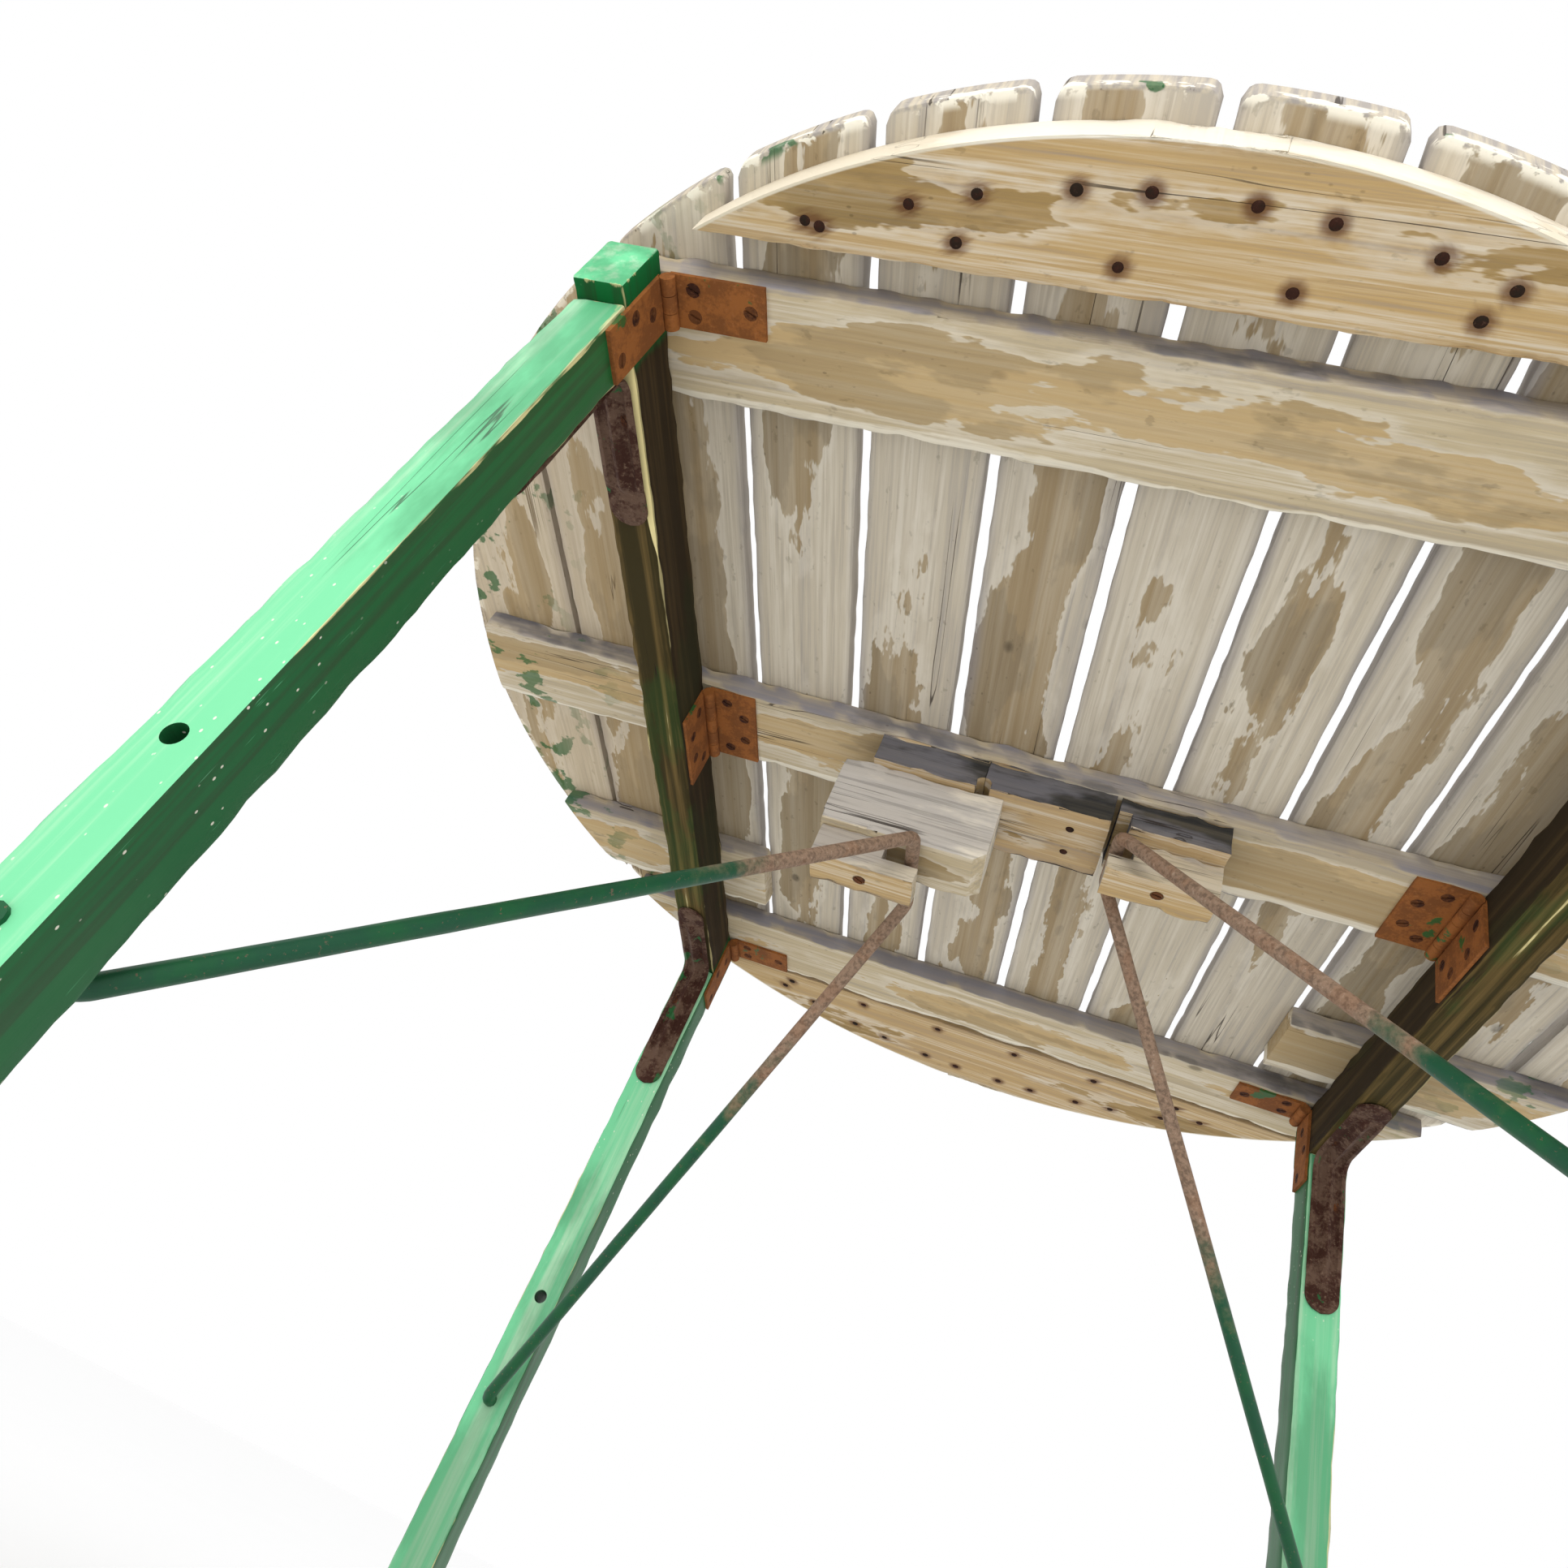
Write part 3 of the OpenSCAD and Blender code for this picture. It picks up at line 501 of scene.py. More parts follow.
MATERIALS = {
    "slat": slat_wood,
    "batten": batten_wood,
    "edge": edge_wood,
    "block": lambda: block_wood("block_wood", hue("edge"), hue("dark"), 0.12),
    "spacer": lambda: block_wood("spacer_wood", hue("batten"), hue("pale"), 0.15),
    "keeper": lambda: block_wood("keeper_wood", hue("edge"), hue("slat")),
    "rail": lambda: green_wood("rail_wood", rail=True),
    "leg": green_wood,
    "hinge": lambda: rusty_iron("hinge_iron", hue("rust"), hue("rust_dark"), 0.64, spots=0.4),
    "bracket": lambda: rusty_iron("bracket_iron", between(hue("rust_dark"), hue("rust_pale"), 0.3),
                                  hue("rust_dark"), 0.62, dry=0.35),
    "screw": lambda: rusty_iron("screw_steel", between(hue("rust_dark"), hue("rust"), 0.4),
                                hue("rust_dark"), 0.7, 0.3),
    "nail": lambda: rusty_iron("nail_steel", hue("rust_dark"), hue("crack"), 0.8, 0.4),
    "rod": painted_rod,
}
made = {}


def material(name):
    """Each material is made once, when the first piece asks for it."""
    if name not in made:
        made[name] = MATERIALS[name]()
    return made[name]


def coat(piece, name):
    piece.data.materials.clear()
    piece.data.materials.append(material(name))


# ---------- modelling ----------

def active(piece):
    """Selects one piece alone."""
    bpy.ops.object.select_all(action="DESELECT")
    piece.select_set(True)
    bpy.context.view_layer.objects.active = piece
    return piece


def seated(piece, name):
    """Names a new piece and puts its place into its mesh."""
    active(piece)
    piece.name = piece.data.name = name
    bpy.ops.object.transform_apply(location=True, rotation=True, scale=True)
    return piece


def block(name, low, high):
    """A cube from its lowest to its highest corner."""
    low, high = Vector(low), Vector(high)
    bpy.ops.object.select_all(action="DESELECT")
    bpy.ops.mesh.primitive_cube_add(size=1, location=(low + high) / 2, scale=high - low)
    return seated(bpy.context.object, name)


def modifier(piece, kind, **settings):
    """Adds a modifier and applies it."""
    active(piece)
    added = piece.modifiers.new(kind.title(), kind)
    for key, value in settings.items():
        setattr(added, key, value)
    bpy.ops.object.modifier_apply(modifier=added.name)


def choose_edges(piece, wanted):
    """Selects the edges for which wanted(first end, second end) holds."""
    mesh = piece.data
    for items in (mesh.vertices, mesh.edges, mesh.polygons):
        items.foreach_set("select", [False] * len(items))
    for edge in mesh.edges:
        edge.select = bool(wanted(*(mesh.vertices[i].co for i in edge.vertices)))
    bpy.context.tool_settings.mesh_select_mode = (False, True, False)


def edit(piece, operator, **settings):
    """Runs one edit-mode operator on what is selected."""
    active(piece)
    bpy.ops.object.mode_set(mode="EDIT")
    operator(**settings)
    bpy.ops.object.mode_set(mode="OBJECT")


def edit_all(piece, operator, **settings):
    """Runs one edit-mode operator on the whole piece."""
    active(piece)
    bpy.ops.object.mode_set(mode="EDIT")
    bpy.ops.mesh.select_all(action="SELECT")
    operator(**settings)
    bpy.ops.object.mode_set(mode="OBJECT")


def slice_along(piece, axis, cuts):
    """Cuts the edges that run along an axis into equal lengths."""
    if cuts:
        choose_edges(piece, lambda a, b: abs((b - a)[axis]) > 0.9 * (b - a).length)
        edit(piece, bpy.ops.mesh.subdivide, number_cuts=cuts)


def reshape(piece, move):
    """Moves every vertex to the place that move gives for it."""
    for vertex in piece.data.vertices:
        vertex.co = move(vertex.co.copy())


def hammer(piece):
    """Gives metal its small forged dents."""
    modifier(piece, "DISPLACE", texture=clouds_texture("hammer", 0.03), strength=0.5 * MM,
             mid_level=0.5)


def smooth(piece, degrees):
    """Shades a piece smooth, apart from the edges that turn more than this."""
    active(piece)
    bpy.ops.object.shade_smooth_by_angle(angle=math.radians(degrees))


def carve(piece, cutter):
    """Cuts one shape out of a piece."""
    modifier(piece, "BOOLEAN", object=cutter, operation="DIFFERENCE", solver="EXACT")
    bpy.data.objects.remove(cutter)


def clouds_texture(name, size, contrast=1.0, intensity=1.0):
    """A cloud pattern that displacement reads, made once."""
    texture = bpy.data.textures.get(name) or bpy.data.textures.new(name, "CLOUDS")
    texture.noise_scale, texture.noise_depth = size, 3
    texture.contrast, texture.intensity = contrast, intensity
    return texture


def weather(piece, along, sway, chips, arris=None):
    """Rounds a board's edges, lets its faces wander and chips its edges here and there."""
    lo, hi = limits(piece)
    modifier(piece, "BEVEL", width=arris or look().sizes.arris, segments=2,
             limit_method="ANGLE", angle_limit=math.radians(40), use_clamp_overlap=True)
    edge = piece.vertex_groups.new(name="edge")
    for vertex in piece.data.vertices:
        near = [min(vertex.co[i] - lo[i], hi[i] - vertex.co[i]) for i in range(3) if i != along]
        if max(near) < 3.5 * MM:
            edge.add([vertex.index], 1.0, "REPLACE")
    modifier(piece, "DISPLACE", texture=clouds_texture("sway", 0.09), strength=sway, mid_level=0.5)
    modifier(piece, "DISPLACE", texture=clouds_texture("chips", 0.022, 2.6, 1.35),
             strength=chips, mid_level=1.0, vertex_group="edge")
    piece.vertex_groups.clear()
    smooth(piece, 42)


def limits(piece):
    corners = [Vector(c) for c in piece.bound_box]
    return (Vector([min(c[i] for c in corners) for i in range(3)]),
            Vector([max(c[i] for c in corners) for i in range(3)]))


def mark_grain(piece, along, across, rusty=(), reach=7 * MM, round_end=None):
    """Stores what the wood patterns follow: the grain, the width and the nearest edge."""
    draw = random.Random(piece.name)
    shift = [draw.uniform(0, 9) for _ in range(3)]
    tone = draw.random()
    thick = 3 - along - across
    lo, hi = limits(piece)
    grain, widths, arris, rust = [], [], [], []
    for vertex in piece.data.vertices:
        co = vertex.co
        grain += [co[along] + shift[0], co[across] + shift[1], co[thick] + shift[2]]
        share = [2 * (co[i] - lo[i]) / (hi[i] - lo[i]) - 1 for i in (across, thick)]
        widths += [*share, tone]
        gaps = [min(co[i] - lo[i], hi[i] - co[i]) for i in (across, thick)]
        if round_end:
            end = round_end - math.hypot(co.x, co.y)
        else:
            end = min(co[along] - lo[along], hi[along] - co[along])
        arris.append(max(0.0, sorted([*gaps, end])[1]))
        rust.append(max([0.0] + [1 - math.hypot(co.x - p[0], co.y - p[1]) / reach
                                 for p in rusty if abs(co.x - p[0]) < reach]))
    mesh = piece.data
    for name, kind, field, values in (
            ("grain", "FLOAT_VECTOR", "vector", grain),
            ("across", "FLOAT_VECTOR", "vector", widths),
            ("arris", "FLOAT", "value", arris),
            ("rust", "FLOAT", "value", rust)):
        mesh.attributes.new(name, kind, "POINT").data.foreach_set(field, values)


def keep(piece, body, slot, *nodes):
    """Hands a finished piece to the frame."""
    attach(piece, body)
    if nodes:
        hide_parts(*nodes)


def islands(node):
    """The middle of each loose solid in a node, with its lowest and highest height."""
    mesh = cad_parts[node].data
    places = {}
    for vertex in mesh.vertices:
        places.setdefault(tuple(round(c, 6) for c in vertex.co), []).append(vertex.index)
    parent = list(range(len(mesh.vertices)))

    def root(i):
        while parent[i] != i:
            parent[i] = parent[parent[i]]
            i = parent[i]
        return i
    for group in places.values():
        for i in group[1:]:
            parent[root(i)] = root(group[0])
    for face in mesh.polygons:
        for i in face.vertices[1:]:
            parent[root(i)] = root(face.vertices[0])
    solids = {}
    for vertex in mesh.vertices:
        solids.setdefault(root(vertex.index), []).append(vertex.co)
    out = []
    for points in solids.values():
        lo = [min(p[i] for p in points) for i in range(3)]
        hi = [max(p[i] for p in points) for i in range(3)]
        out.append((Vector(lo), Vector(hi)))
    return sorted(out, key=lambda box: tuple(round(c, 5) for c in box[0]))


def nail_places(node):
    return [((lo + hi) / 2).to_tuple() for lo, hi in islands(node)]


# ---------- wooden pieces ----------

def corner_cut(distance, radius):
    """How much a rounded corner shortens a board at a distance from its side."""
    if distance >= radius:
        return 0.0
    return radius - math.sqrt(radius * radius - (radius - distance) ** 2)


def slat_piece(name, rusty):
    lo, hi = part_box(name)
    outer = 1 if hi.x > RIM - 1 * MM else -1 if lo.x < 1 * MM - RIM else 0
    piece = block(name + "_board", lo, hi)
    slice_along(piece, Y, 89)
    slice_along(piece, X, 11)
    corner, width = look().sizes.corner, hi.x - lo.x
    inset = [0, 0.3, 0.6, 1]
    steps = [c * corner for c in inset]
    steps += [corner + (width - 2 * corner) * k / 6 for k in range(1, 6)]
    steps += [width - c * corner for c in reversed(inset)]
    half = max(abs(lo.y), abs(hi.y))
    if outer:
        inner = lo.x if outer > 0 else -hi.x
        widest = math.acos(inner / RIM)

    def move(co):
        share = (co.x - lo.x) / width
        if outer:
            turn = widest * (1 - share if outer > 0 else share)
            turn = max(turn, 0.035)
            co.x = outer * RIM * math.cos(turn)
            reach = RIM * math.sin(turn)
        else:
            co.x = lo.x + steps[round(share * 12)]
            reach = math.sqrt(RIM ** 2 - co.x ** 2)
            reach -= corner_cut(min(co.x - lo.x, hi.x - co.x), corner)
        co.y *= reach / half
        return co
    reshape(piece, move)
    weather(piece, Y, sway=0.5 * MM, chips=0.8 * MM)
    mark_grain(piece, Y, X, [p for p in rusty if lo.x < p[0] < hi.x], round_end=RIM)
    coat(piece, "slat")
    keep(piece, "top", "slat_wood", name)


def batten_piece(name, rusty):
    """A batten's ends follow the rim; a short batten has one square end."""
    lo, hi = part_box(name)
    piece = block(name + "_board", lo, hi)
    cuts = 99 if name in BATTENS else 29
    slice_along(piece, X, cuts)
    slice_along(piece, Y, 9)
    slice_along(piece, Z, 1)
    low_x, high_x = lo.x, hi.x

    def move(co):
        reach = math.sqrt(BATTEN_RIM ** 2 - co.y ** 2)
        left = -reach if low_x < -0.3 else low_x
        right = reach if high_x > 0.3 else high_x
        co.x = left + (right - left) * (co.x - low_x) / (high_x - low_x)
        return co
    reshape(piece, move)
    weather(piece, X, sway=0.7 * MM, chips=2.4 * MM, arris=1.2 * MM)
    mark_grain(piece, X, Y, rusty)
    coat(piece, "batten")
    keep(piece, "top", "batten_wood", name)


def edge_board_piece(name, rusty):
    """The part of the round beyond a straight chord."""
    lo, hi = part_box(name)
    side = -1 if hi.y < 0 else 1
    chord = hi.y if side < 0 else -lo.y
    piece = block(name + "_board", lo, hi)
    slice_along(piece, X, 199)
    slice_along(piece, Y, 27)
    half = hi.x
    widest = math.acos(-chord / BATTEN_RIM)

    def move(co):
        share = (co.y - lo.y) / (hi.y - lo.y)
        turn = widest * (share if side < 0 else 1 - share)
        turn = max(turn, 0.06)
        co.y = side * BATTEN_RIM * math.cos(turn)
        co.x *= BATTEN_RIM * math.sin(turn) / half
        return co
    reshape(piece, move)
    weather(piece, X, sway=0.6 * MM, chips=1.6 * MM, arris=1.2 * MM)
    mark_grain(piece, X, Y, rusty, reach=10 * MM, round_end=BATTEN_RIM)
    coat(piece, "edge")
    keep(piece, "top", "batten_wood", name)


def peg(low, high, radius, sides=24):
    """An upright round cutter between two heights."""
    bpy.ops.object.select_all(action="DESELECT")
    bpy.ops.mesh.primitive_cylinder_add(
        vertices=sides, radius=radius, depth=(high - low).length, location=(low + high) / 2,
        rotation=(high - low).to_track_quat("Z", "Y").to_euler())
    return seated(bpy.context.object, "cutter")


def base_piece(name):
    """A block of the catch base, with the rounded thumb notch or the cut corner of its node."""
    lo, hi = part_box(name)
    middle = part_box("catch_base_middle")[0]
    piece = block(name + "_block", lo, hi)
    if name == "catch_base_right":
        carve(piece, block("cutter", lo - Vector((1, 1, 1)) * MM,
                           (lo.x + 9 * MM, hi.y + 1 * MM, lo.z + 12 * MM)))
    else:
        notch = Vector((middle.x, lo.y - 2 * MM, lo.z + 3 * MM))
        carve(piece, peg(notch, notch + Vector((0, hi.y - lo.y + 4 * MM, 0)), 6 * MM))
    cut_grid(piece, 9 * MM)
    finish_block(piece, "block", "grey_wood", name)


def spacer_piece():
    """The spacer beside the left crossbar, with one lower corner cut off."""
    lo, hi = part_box("catch_spacer")
    piece = block("catch_spacer_block", lo, hi)
    choose_edges(piece, lambda a, b: min(a.x, b.x) > hi.x - MM and max(a.z, b.z) < lo.z + MM)
    edit(piece, bpy.ops.mesh.bevel, offset=8 * MM, segments=1)
    cut_grid(piece, 9 * MM)
    finish_block(piece, "spacer", "grey_wood", "catch_spacer")


def keeper_piece(side):
    """A keeper with its lip, the slot for the crossbar and the pockets of its screws."""
    lo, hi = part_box("keeper_" + side)
    lip_lo, lip_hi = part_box("keeper_lip_" + side)
    piece = block(f"keeper_{side}_block", (min(lo.x, lip_lo.x), lo.y, lo.z),
                  (max(hi.x, lip_hi.x), hi.y, hi.z))
    slot_lo = lip_lo.x - (2 * MM if side == "right" else 0)
    slot_hi = lip_hi.x + (2 * MM if side == "left" else 0)
    carve(piece, block("cutter", (slot_lo, lo.y - MM, lip_hi.z),
                       (slot_hi, hi.y + MM, hi.z + MM)))
    cut_grid(piece, 7 * MM)
    for screw in nail_places("top_screws"):
        if lo.x < screw[0] < hi.x and lo.y < screw[1] < hi.y:
            mouth = Vector((screw[0], screw[1], lo.z - 2 * MM))
            carve(piece, peg(mouth, mouth + Vector((0, 0, 3.4 * MM)), 4.9 * MM))
    finish_block(piece, "keeper", "keeper_wood", "keeper_" + side, "keeper_lip_" + side)


def cut_grid(piece, gap):
    """Cuts a block across all three directions at even distances."""
    lo, hi = limits(piece)
    bpy.context.tool_settings.mesh_select_mode = (True, False, False)
    active(piece)
    bpy.ops.object.mode_set(mode="EDIT")
    for axis in (X, Y, Z):
        count = max(1, round((hi - lo)[axis] / gap))
        normal = Vector([float(i == axis) for i in range(3)])
        for k in range(1, count):
            bpy.ops.mesh.select_all(action="SELECT")
            at = lo.lerp(hi, k / count)
            bpy.ops.mesh.bisect(plane_co=at, plane_no=normal)
    bpy.ops.object.mode_set(mode="OBJECT")


def finish_block(piece, look_name, slot, *nodes):
    """Chips a catch block more than the boards, and hands it to the frame."""
    weather(piece, X, sway=1.2 * MM, chips=3.2 * MM, arris=1.0 * MM)
    mark_grain(piece, X, Y)
    coat(piece, look_name)
    keep(piece, "top", slot, *nodes)


def leg_piece(side, end):
    """A leg from the floor to its rail, with the spare rod hole through it."""
    name = f"{side}_leg_{end}"
    lo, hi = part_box(name)
    rail_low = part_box(f"{side}_rail")[0].z
    piece = block(name + "_post", lo, (hi.x, hi.y, rail_low))
    slice_along(piece, Z, 79)
    slice_along(piece, X, 3)
    slice_along(piece, Y, 3)
    weather(piece, Z, sway=0.5 * MM, chips=1.2 * MM, arris=2.2 * MM)
    middle = Vector(((lo.x + hi.x) / 2, lo.y - 5 * MM, SPARE_HOLE[side]))
    carve(piece, peg(middle, middle + Vector((0, hi.y - lo.y + 10 * MM, 0)), SPARE_RADIUS))
    mark_grain(piece, Z, X)
    coat(piece, "leg")
    keep(piece, side + "_frame", "green_leg", name)


def rail_piece(side):
    name = side + "_rail"
    lo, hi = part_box(name)
    piece = block(name + "_bar", lo, hi)
    slice_along(piece, Y, 95)
    slice_along(piece, X, 3)
    slice_along(piece, Z, 4)
    weather(piece, Y, sway=0.5 * MM, chips=1.4 * MM, arris=2.4 * MM)
    mark_grain(piece, Y, X)
    coat(piece, "rail")
    keep(piece, side + "_frame", "rail_wood", name)


# ---------- metal pieces ----------

def rounded_path(points, radius, steps=8):
    """A path through points with its bends rounded."""
    out = [points[0]]
    for before, at, after in zip(points, points[1:], points[2:]):
        a, b = (before - at).normalized(), (after - at).normalized()
        half = a.angle(b) / 2
        run = radius / math.tan(half)
        centre = at + (a + b).normalized() * radius / math.sin(half)
        start, stop = at + a * run - centre, at + b * run - centre
        for k in range(steps + 1):
            out.append(centre + start.slerp(stop, k / steps) * radius)
    return out + [points[-1]]


def rod_piece(side):
    """A brace: one rod, bent twice at its crossbar and once before each leg."""
    bar_lo, bar_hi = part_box(side + "_brace_bar")
    arm_lo, arm_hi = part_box(side + "_brace_arms")
    leg_lo, leg_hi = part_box(side + "_leg_far")
    thick = look().sizes.rod
    bar_x, bar_z = (bar_lo.x + bar_hi.x) / 2, (bar_lo.z + bar_hi.z) / 2
    leg_x = (leg_lo.x + leg_hi.x) / 2
    pivot_z = arm_lo.z + thick / 2 + 0.2 * MM
    half = HALF_CROSSBAR[side]
    inner = leg_lo.y - 12 * MM
    points = [Vector(co) for co in (
        (leg_x, arm_lo.y, pivot_z), (leg_x, 2 * FRAME_MIDDLE - inner, pivot_z),
        (bar_x, CATCH_MIDDLE - half, bar_z), (bar_x, CATCH_MIDDLE + half, bar_z),
        (leg_x, inner, pivot_z), (leg_x, arm_hi.y, pivot_z))]
    path = rounded_path(points, look().sizes.bend)
    curve = bpy.data.curves.new(side + "_rod", "CURVE")
    curve.dimensions, curve.use_fill_caps = "3D", True
    curve.bevel_depth, curve.bevel_resolution = thick / 2, 4
    spline = curve.splines.new("POLY")
    spline.points.add(len(path) - 1)
    for point, co in zip(spline.points, path):
        point.co = (*co, 1)
    rod = bpy.data.objects.new(side + "_rod", curve)
    bpy.context.collection.objects.link(rod)
    active(rod)
    bpy.ops.object.convert(target="MESH")
    rod = bpy.context.object
    choose_edges(rod, lambda a, b: (b - a).length > 12 * MM)
    edit(rod, bpy.ops.mesh.subdivide, number_cuts=24)
    hammer(rod)
    smooth(rod, 50)
    coat(rod, "rod")
    keep(rod, side + "_brace", "brace_rod", side + "_brace_bar", side + "_brace_arms")


def bracket_height(run, total, share):
    """Height of a pressed bracket over the wood: side ridges, a middle rib and round ends."""
    from_end = min(run, total - run)
    ribbed = min(1.0, max(0.0, (from_end - 25 * MM) / (8 * MM)))
    rib = 5.0 * MM * math.exp(-(share / 0.24) ** 2) * ribbed
    ridge = 2.2 * MM * math.exp(-((abs(share) - 0.82) / 0.13) ** 2) * ribbed
    return 2.3 * MM + rib + ridge


def bracket_piece(side, end):
    """A pressed strip that lies on the rail, turns down the corner and lies on the leg."""
    node = f"{side}_bracket_{end}"
    lo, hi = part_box(node)
    leg_lo, leg_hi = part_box(f"{side}_leg_{end}")
    inward = -ENDS[end]
    mid_x = (lo.x + hi.x) / 2
    leg_face = leg_hi.y if inward > 0 else leg_lo.y
    rail_arm, leg_arm = (hi.y - lo.y), (hi.z - lo.z)
    half, bend = (hi.x - lo.x) / 2, 17 * MM
    arc = bend * math.pi / 2
    total = (rail_arm - bend) + arc + (leg_arm - bend)
    bpy.ops.object.select_all(action="DESELECT")
    bpy.ops.mesh.primitive_grid_add(x_subdivisions=150, y_subdivisions=18, size=1)
    piece = seated(bpy.context.object, node + "_strip")

    def move(co):
        run, share = (co.x + 0.5) * total, co.y * 2
        end_gap = min(run, total - run)
        width = half
        if end_gap < half:
            width = math.sqrt(max(0.0, half ** 2 - (half - end_gap) ** 2))
            width = max(width, 0.6 * MM)
        v = share * width
        lift = bracket_height(run, total, share)
        from_centre = math.hypot(v, end_gap - half)
        if end_gap < 26 * MM:
            ring = math.exp(-((from_centre - BRACKET_RING) / (1.4 * MM)) ** 2)
            lift += 1.1 * MM * ring + (0.9 * MM if from_centre < 6 * MM else 0)
        if run < rail_arm - bend:
            y, z, ny, nz = rail_arm - run, 0.0, 0.0, -1.0
        elif run < rail_arm - bend + arc:
            turn = (run - (rail_arm - bend)) / bend
            y = bend - bend * math.sin(turn)
            z = -bend + bend * math.cos(turn)
            ny, nz = math.sin(turn), -math.cos(turn)
        else:
            y, z, ny, nz = 0.0, -(bend + run - (rail_arm - bend) - arc), 1.0, 0.0
        return Vector((mid_x + v, leg_face + inward * (y + ny * lift), hi.z + z + nz * lift))
    reshape(piece, move)
    modifier(piece, "SOLIDIFY", thickness=BRACKET_PLATE, offset=0)
    hammer(piece)
    edit_all(piece, bpy.ops.mesh.normals_make_consistent, inside=False)
    smooth(piece, 50)
    coat(piece, "bracket")
    keep(piece, side + "_frame", "bracket_iron", node)


def nail_heads(name, places, low, draw, *nodes):
    """One low domed head, copied to every place with a little tilt."""
    bpy.ops.object.select_all(action="DESELECT")
    bpy.ops.mesh.primitive_uv_sphere_add(
        segments=14, ring_count=8, radius=look().sizes.nail / 2)
    first = seated(bpy.context.object, name)
    reshape(first, lambda co: Vector((co.x, co.y, co.z * 0.34)))
    copies = []
    for at in places:
        copy = first.copy()
        copy.data = first.data.copy()
        bpy.context.collection.objects.link(copy)
        tilt = Matrix.Rotation(draw.uniform(-LEAN, LEAN), 4, "X")
        tilt @= Matrix.Rotation(draw.uniform(-LEAN, LEAN), 4, "Y")
        size = Matrix.Scale(draw.uniform(0.9, 1.06), 4)
        copy.data.transform(Matrix.Translation((at[0], at[1], low)) @ tilt @ size)
        copies.append(copy)
    bpy.data.objects.remove(first)
    bpy.ops.object.select_all(action="DESELECT")
    for copy in copies:
        copy.select_set(True)
    bpy.context.view_layer.objects.active = copies[0]
    bpy.ops.object.join()
    piece = bpy.context.object
    piece.name = piece.data.name = name
    bpy.ops.object.shade_smooth()
    coat(piece, "nail")
    keep(piece, "top", "nail_steel", *nodes)


def catch_nails():
    """Two nail heads in the underside of the middle base block."""
    lo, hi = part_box("catch_base_middle")
    places = [(lo.x + 0.72 * (hi.x - lo.x), lo.y + share * (hi.y - lo.y))
              for share in (0.3, 0.7)]
    nail_heads("catch_nail_heads", places, lo.z, random.Random(3))


# ---------- operators ----------

class Maker:
    """What the table's operators share."""
    bl_options = {"REGISTER", "UNDO"}

    def execute(self, context):
        self.make()
        return {"FINISHED"}


class MakeSlats(Maker, bpy.types.Operator):
    """Twelve worn slats with rounded corners at the rim"""
    bl_idname = "garden_table.slats"
    bl_label = "Slats"

    def make(self):
        rusty = nail_places("slat_nails")
        for name in SLATS:
            slat_piece(name, rusty)


class MakeBattens(Maker, bpy.types.Operator):
    """Three long and two short battens under the slats"""
    bl_idname = "garden_table.battens"
    bl_label = "Battens"

    def make(self):
        for name in BATTENS + SHORT_BATTENS:
            batten_piece(name, [])


class MakeEdgeBoards(Maker, bpy.types.Operator):
    """Two edge boards that follow the rim, with rust around their nails"""
    bl_idname = "garden_table.edge_boards"
    bl_label = "Edge boards"

    def make(self):
        rusty = nail_places("edge_nails")
        for name in EDGE_BOARDS:
            edge_board_piece(name, rusty)


class MakeCatches(Maker, bpy.types.Operator):
    """Base blocks, spacer and keepers that hold the braces' crossbars"""
    bl_idname = "garden_table.catches"
    bl_label = "Catches"

    def make(self):
        for name in ("catch_base_left", "catch_base_middle", "catch_base_right"):
            base_piece(name)
        spacer_piece()
        catch_nails()
        for side in SIDES:
            keeper_piece(side)


class MakeLegs(Maker, bpy.types.Operator):
    """Four painted legs with their spare rod holes"""
    bl_idname = "garden_table.legs"
    bl_label = "Legs"

    def make(self):
        for side in SIDES:
            for end in ENDS:
                leg_piece(side, end)


class MakeRails(Maker, bpy.types.Operator):
    """Two rails, worn bare between their painted ends"""
    bl_idname = "garden_table.rails"
    bl_label = "Rails"

    def make(self):
        for side in SIDES:
            rail_piece(side)


class MakeBraces(Maker, bpy.types.Operator):
    """Two bent rods that hold the frames upright"""
    bl_idname = "garden_table.braces"
    bl_label = "Braces"

    def make(self):
        for side in SIDES:
            rod_piece(side)


class MakeBrackets(Maker, bpy.types.Operator):
    """Four pressed corner brackets between rails and legs"""
    bl_idname = "garden_table.brackets"
    bl_label = "Brackets"

    def make(self):
        for side in SIDES:
            for end in ENDS:
                bracket_piece(side, end)


class MakeHinges(Maker, bpy.types.Operator):
    """Rust and old paint for the hinges and their pins"""
    bl_idname = "garden_table.hinges"
    bl_label = "Hinges"

    def make(self):
        for name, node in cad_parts.items():
            if "_leaf" in name or name.endswith("_pins"):
                coat(node, "hinge")


class MakeFasteners(Maker, bpy.types.Operator):
    """Nail heads in the top, and rust for nails and screws"""
    bl_idname = "garden_table.fasteners"
    bl_label = "Nails and screws"

    def make(self):
        draw = random.Random(7)
        nail_heads("slat_nail_heads", nail_places("slat_nails"), TOP - 0.3 * MM, draw,
                   "slat_nails")
        nail_heads("edge_nail_heads", nail_places("edge_nails"),
                   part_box("edge_board_near")[0].z + 0.1 * MM, draw, "edge_nails")
        for name in ("top_screws", "left_frame_screws", "right_frame_screws"):
            coat(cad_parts[name], "screw")


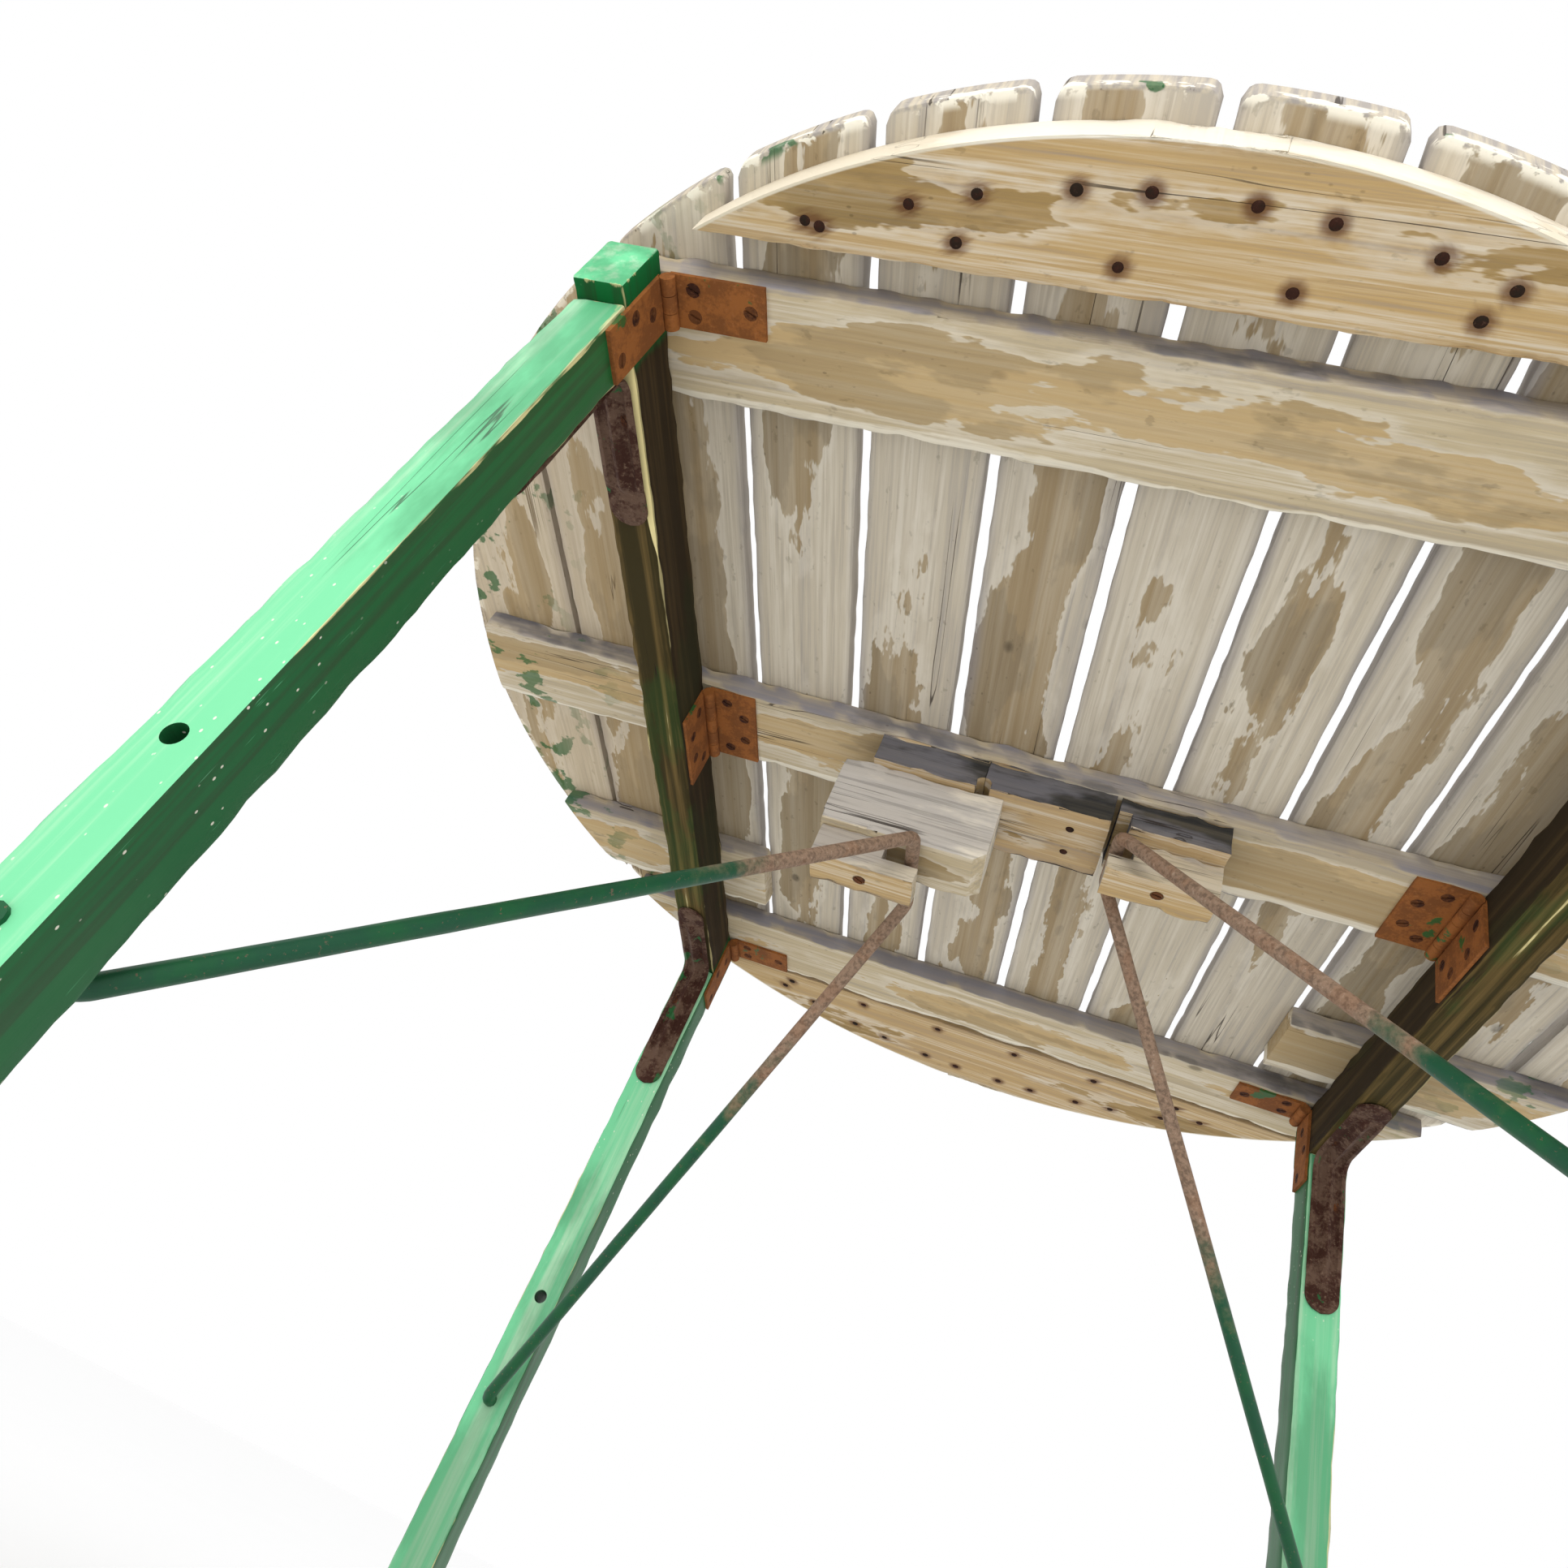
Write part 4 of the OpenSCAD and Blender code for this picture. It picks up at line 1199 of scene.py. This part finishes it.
class MakeStage(Maker, bpy.types.Operator):
    """Pale floor, soft light and the camera"""
    bl_idname = "garden_table.stage"
    bl_label = "Stage"

    def make(self):
        scene = bpy.context.scene
        scene.view_settings.view_transform = "Standard"
        bpy.ops.object.select_all(action="DESELECT")
        bpy.ops.mesh.primitive_plane_add(size=40)
        floor = seated(bpy.context.object, "floor")
        f = Finish("floor_paint", rough=0.9)
        shade = f.clouds(f.place, (3, 3, 3), 2)
        f.finish(f.mix(shade, (0.985, 0.985, 0.985, 1), (0.97, 0.97, 0.97, 1)))
        floor.data.materials.append(f.material)
        world = bpy.data.worlds.new("studio")
        scene.world = world
        world.use_nodes = True
        world.node_tree.nodes["Background"].inputs["Color"].default_value = (1, 1, 1, 1)
        world.node_tree.nodes["Background"].inputs["Strength"].default_value = 1.0
        self.lamp("key", (0.0, -2.6, 0.72), (0.05, 0, 0.66), 1.4, 28)
        camera = bpy.data.objects.new("camera", bpy.data.cameras.new("camera"))
        bpy.context.collection.objects.link(camera)
        right, down, ahead = (Vector(v) for v in (
            (0.9344, 0.0178, 0.3557), (0.2564, 0.6595, -0.7066), (-0.2472, 0.7515, 0.6117)))
        turn = Matrix((right, -down, -ahead)).transposed().to_4x4()
        camera.matrix_world = Matrix.Translation((0.0087, -0.6824, 0.1485)) @ turn
        camera.data.lens, camera.data.sensor_width = 25.502, 36.0
        camera.data.shift_y = -0.0305
        camera.data.clip_start = 0.01
        scene.camera = camera

    def lamp(self, name, at, aim, size, watts):
        light = bpy.data.lights.new(name, "AREA")
        light.shape, light.size, light.energy = "DISK", size, watts
        lamp = bpy.data.objects.new(name, light)
        bpy.context.collection.objects.link(lamp)
        lamp.location = at
        lamp.rotation_euler = (Vector(aim) - Vector(at)).to_track_quat("-Z", "Y").to_euler()


MAKERS = (MakeSlats, MakeBattens, MakeEdgeBoards, MakeCatches, MakeRails, MakeLegs,
          MakeBraces, MakeBrackets, MakeHinges, MakeFasteners, MakeStage)


class TablePanel(bpy.types.Panel):
    """The table's settings and the operators that make it"""
    bl_idname = "VIEW3D_PT_garden_table"
    bl_label = "Garden table"
    bl_space_type = "VIEW_3D"
    bl_region_type = "UI"
    bl_category = "Garden table"

    def draw(self, context):
        for group in (look().wood, look().paint, look().sizes):
            box = self.layout.box()
            for name in group.__annotations__:
                box.prop(group, name)
        for maker in MAKERS:
            self.layout.operator(maker.bl_idname)


CLASSES = (TableWood, TablePaint, TableSizes, TableLook, *MAKERS, TablePanel)


def register():
    for item in CLASSES:
        bpy.utils.register_class(item)
    bpy.types.Scene.garden_table = bpy.props.PointerProperty(type=TableLook)


def unregister():
    del bpy.types.Scene.garden_table
    for item in reversed(CLASSES):
        bpy.utils.unregister_class(item)


def main():
    register()
    for maker in MAKERS:
        family, name = maker.bl_idname.split(".")
        getattr(getattr(bpy.ops, family), name)()


if __name__ == "__main__":
    main()
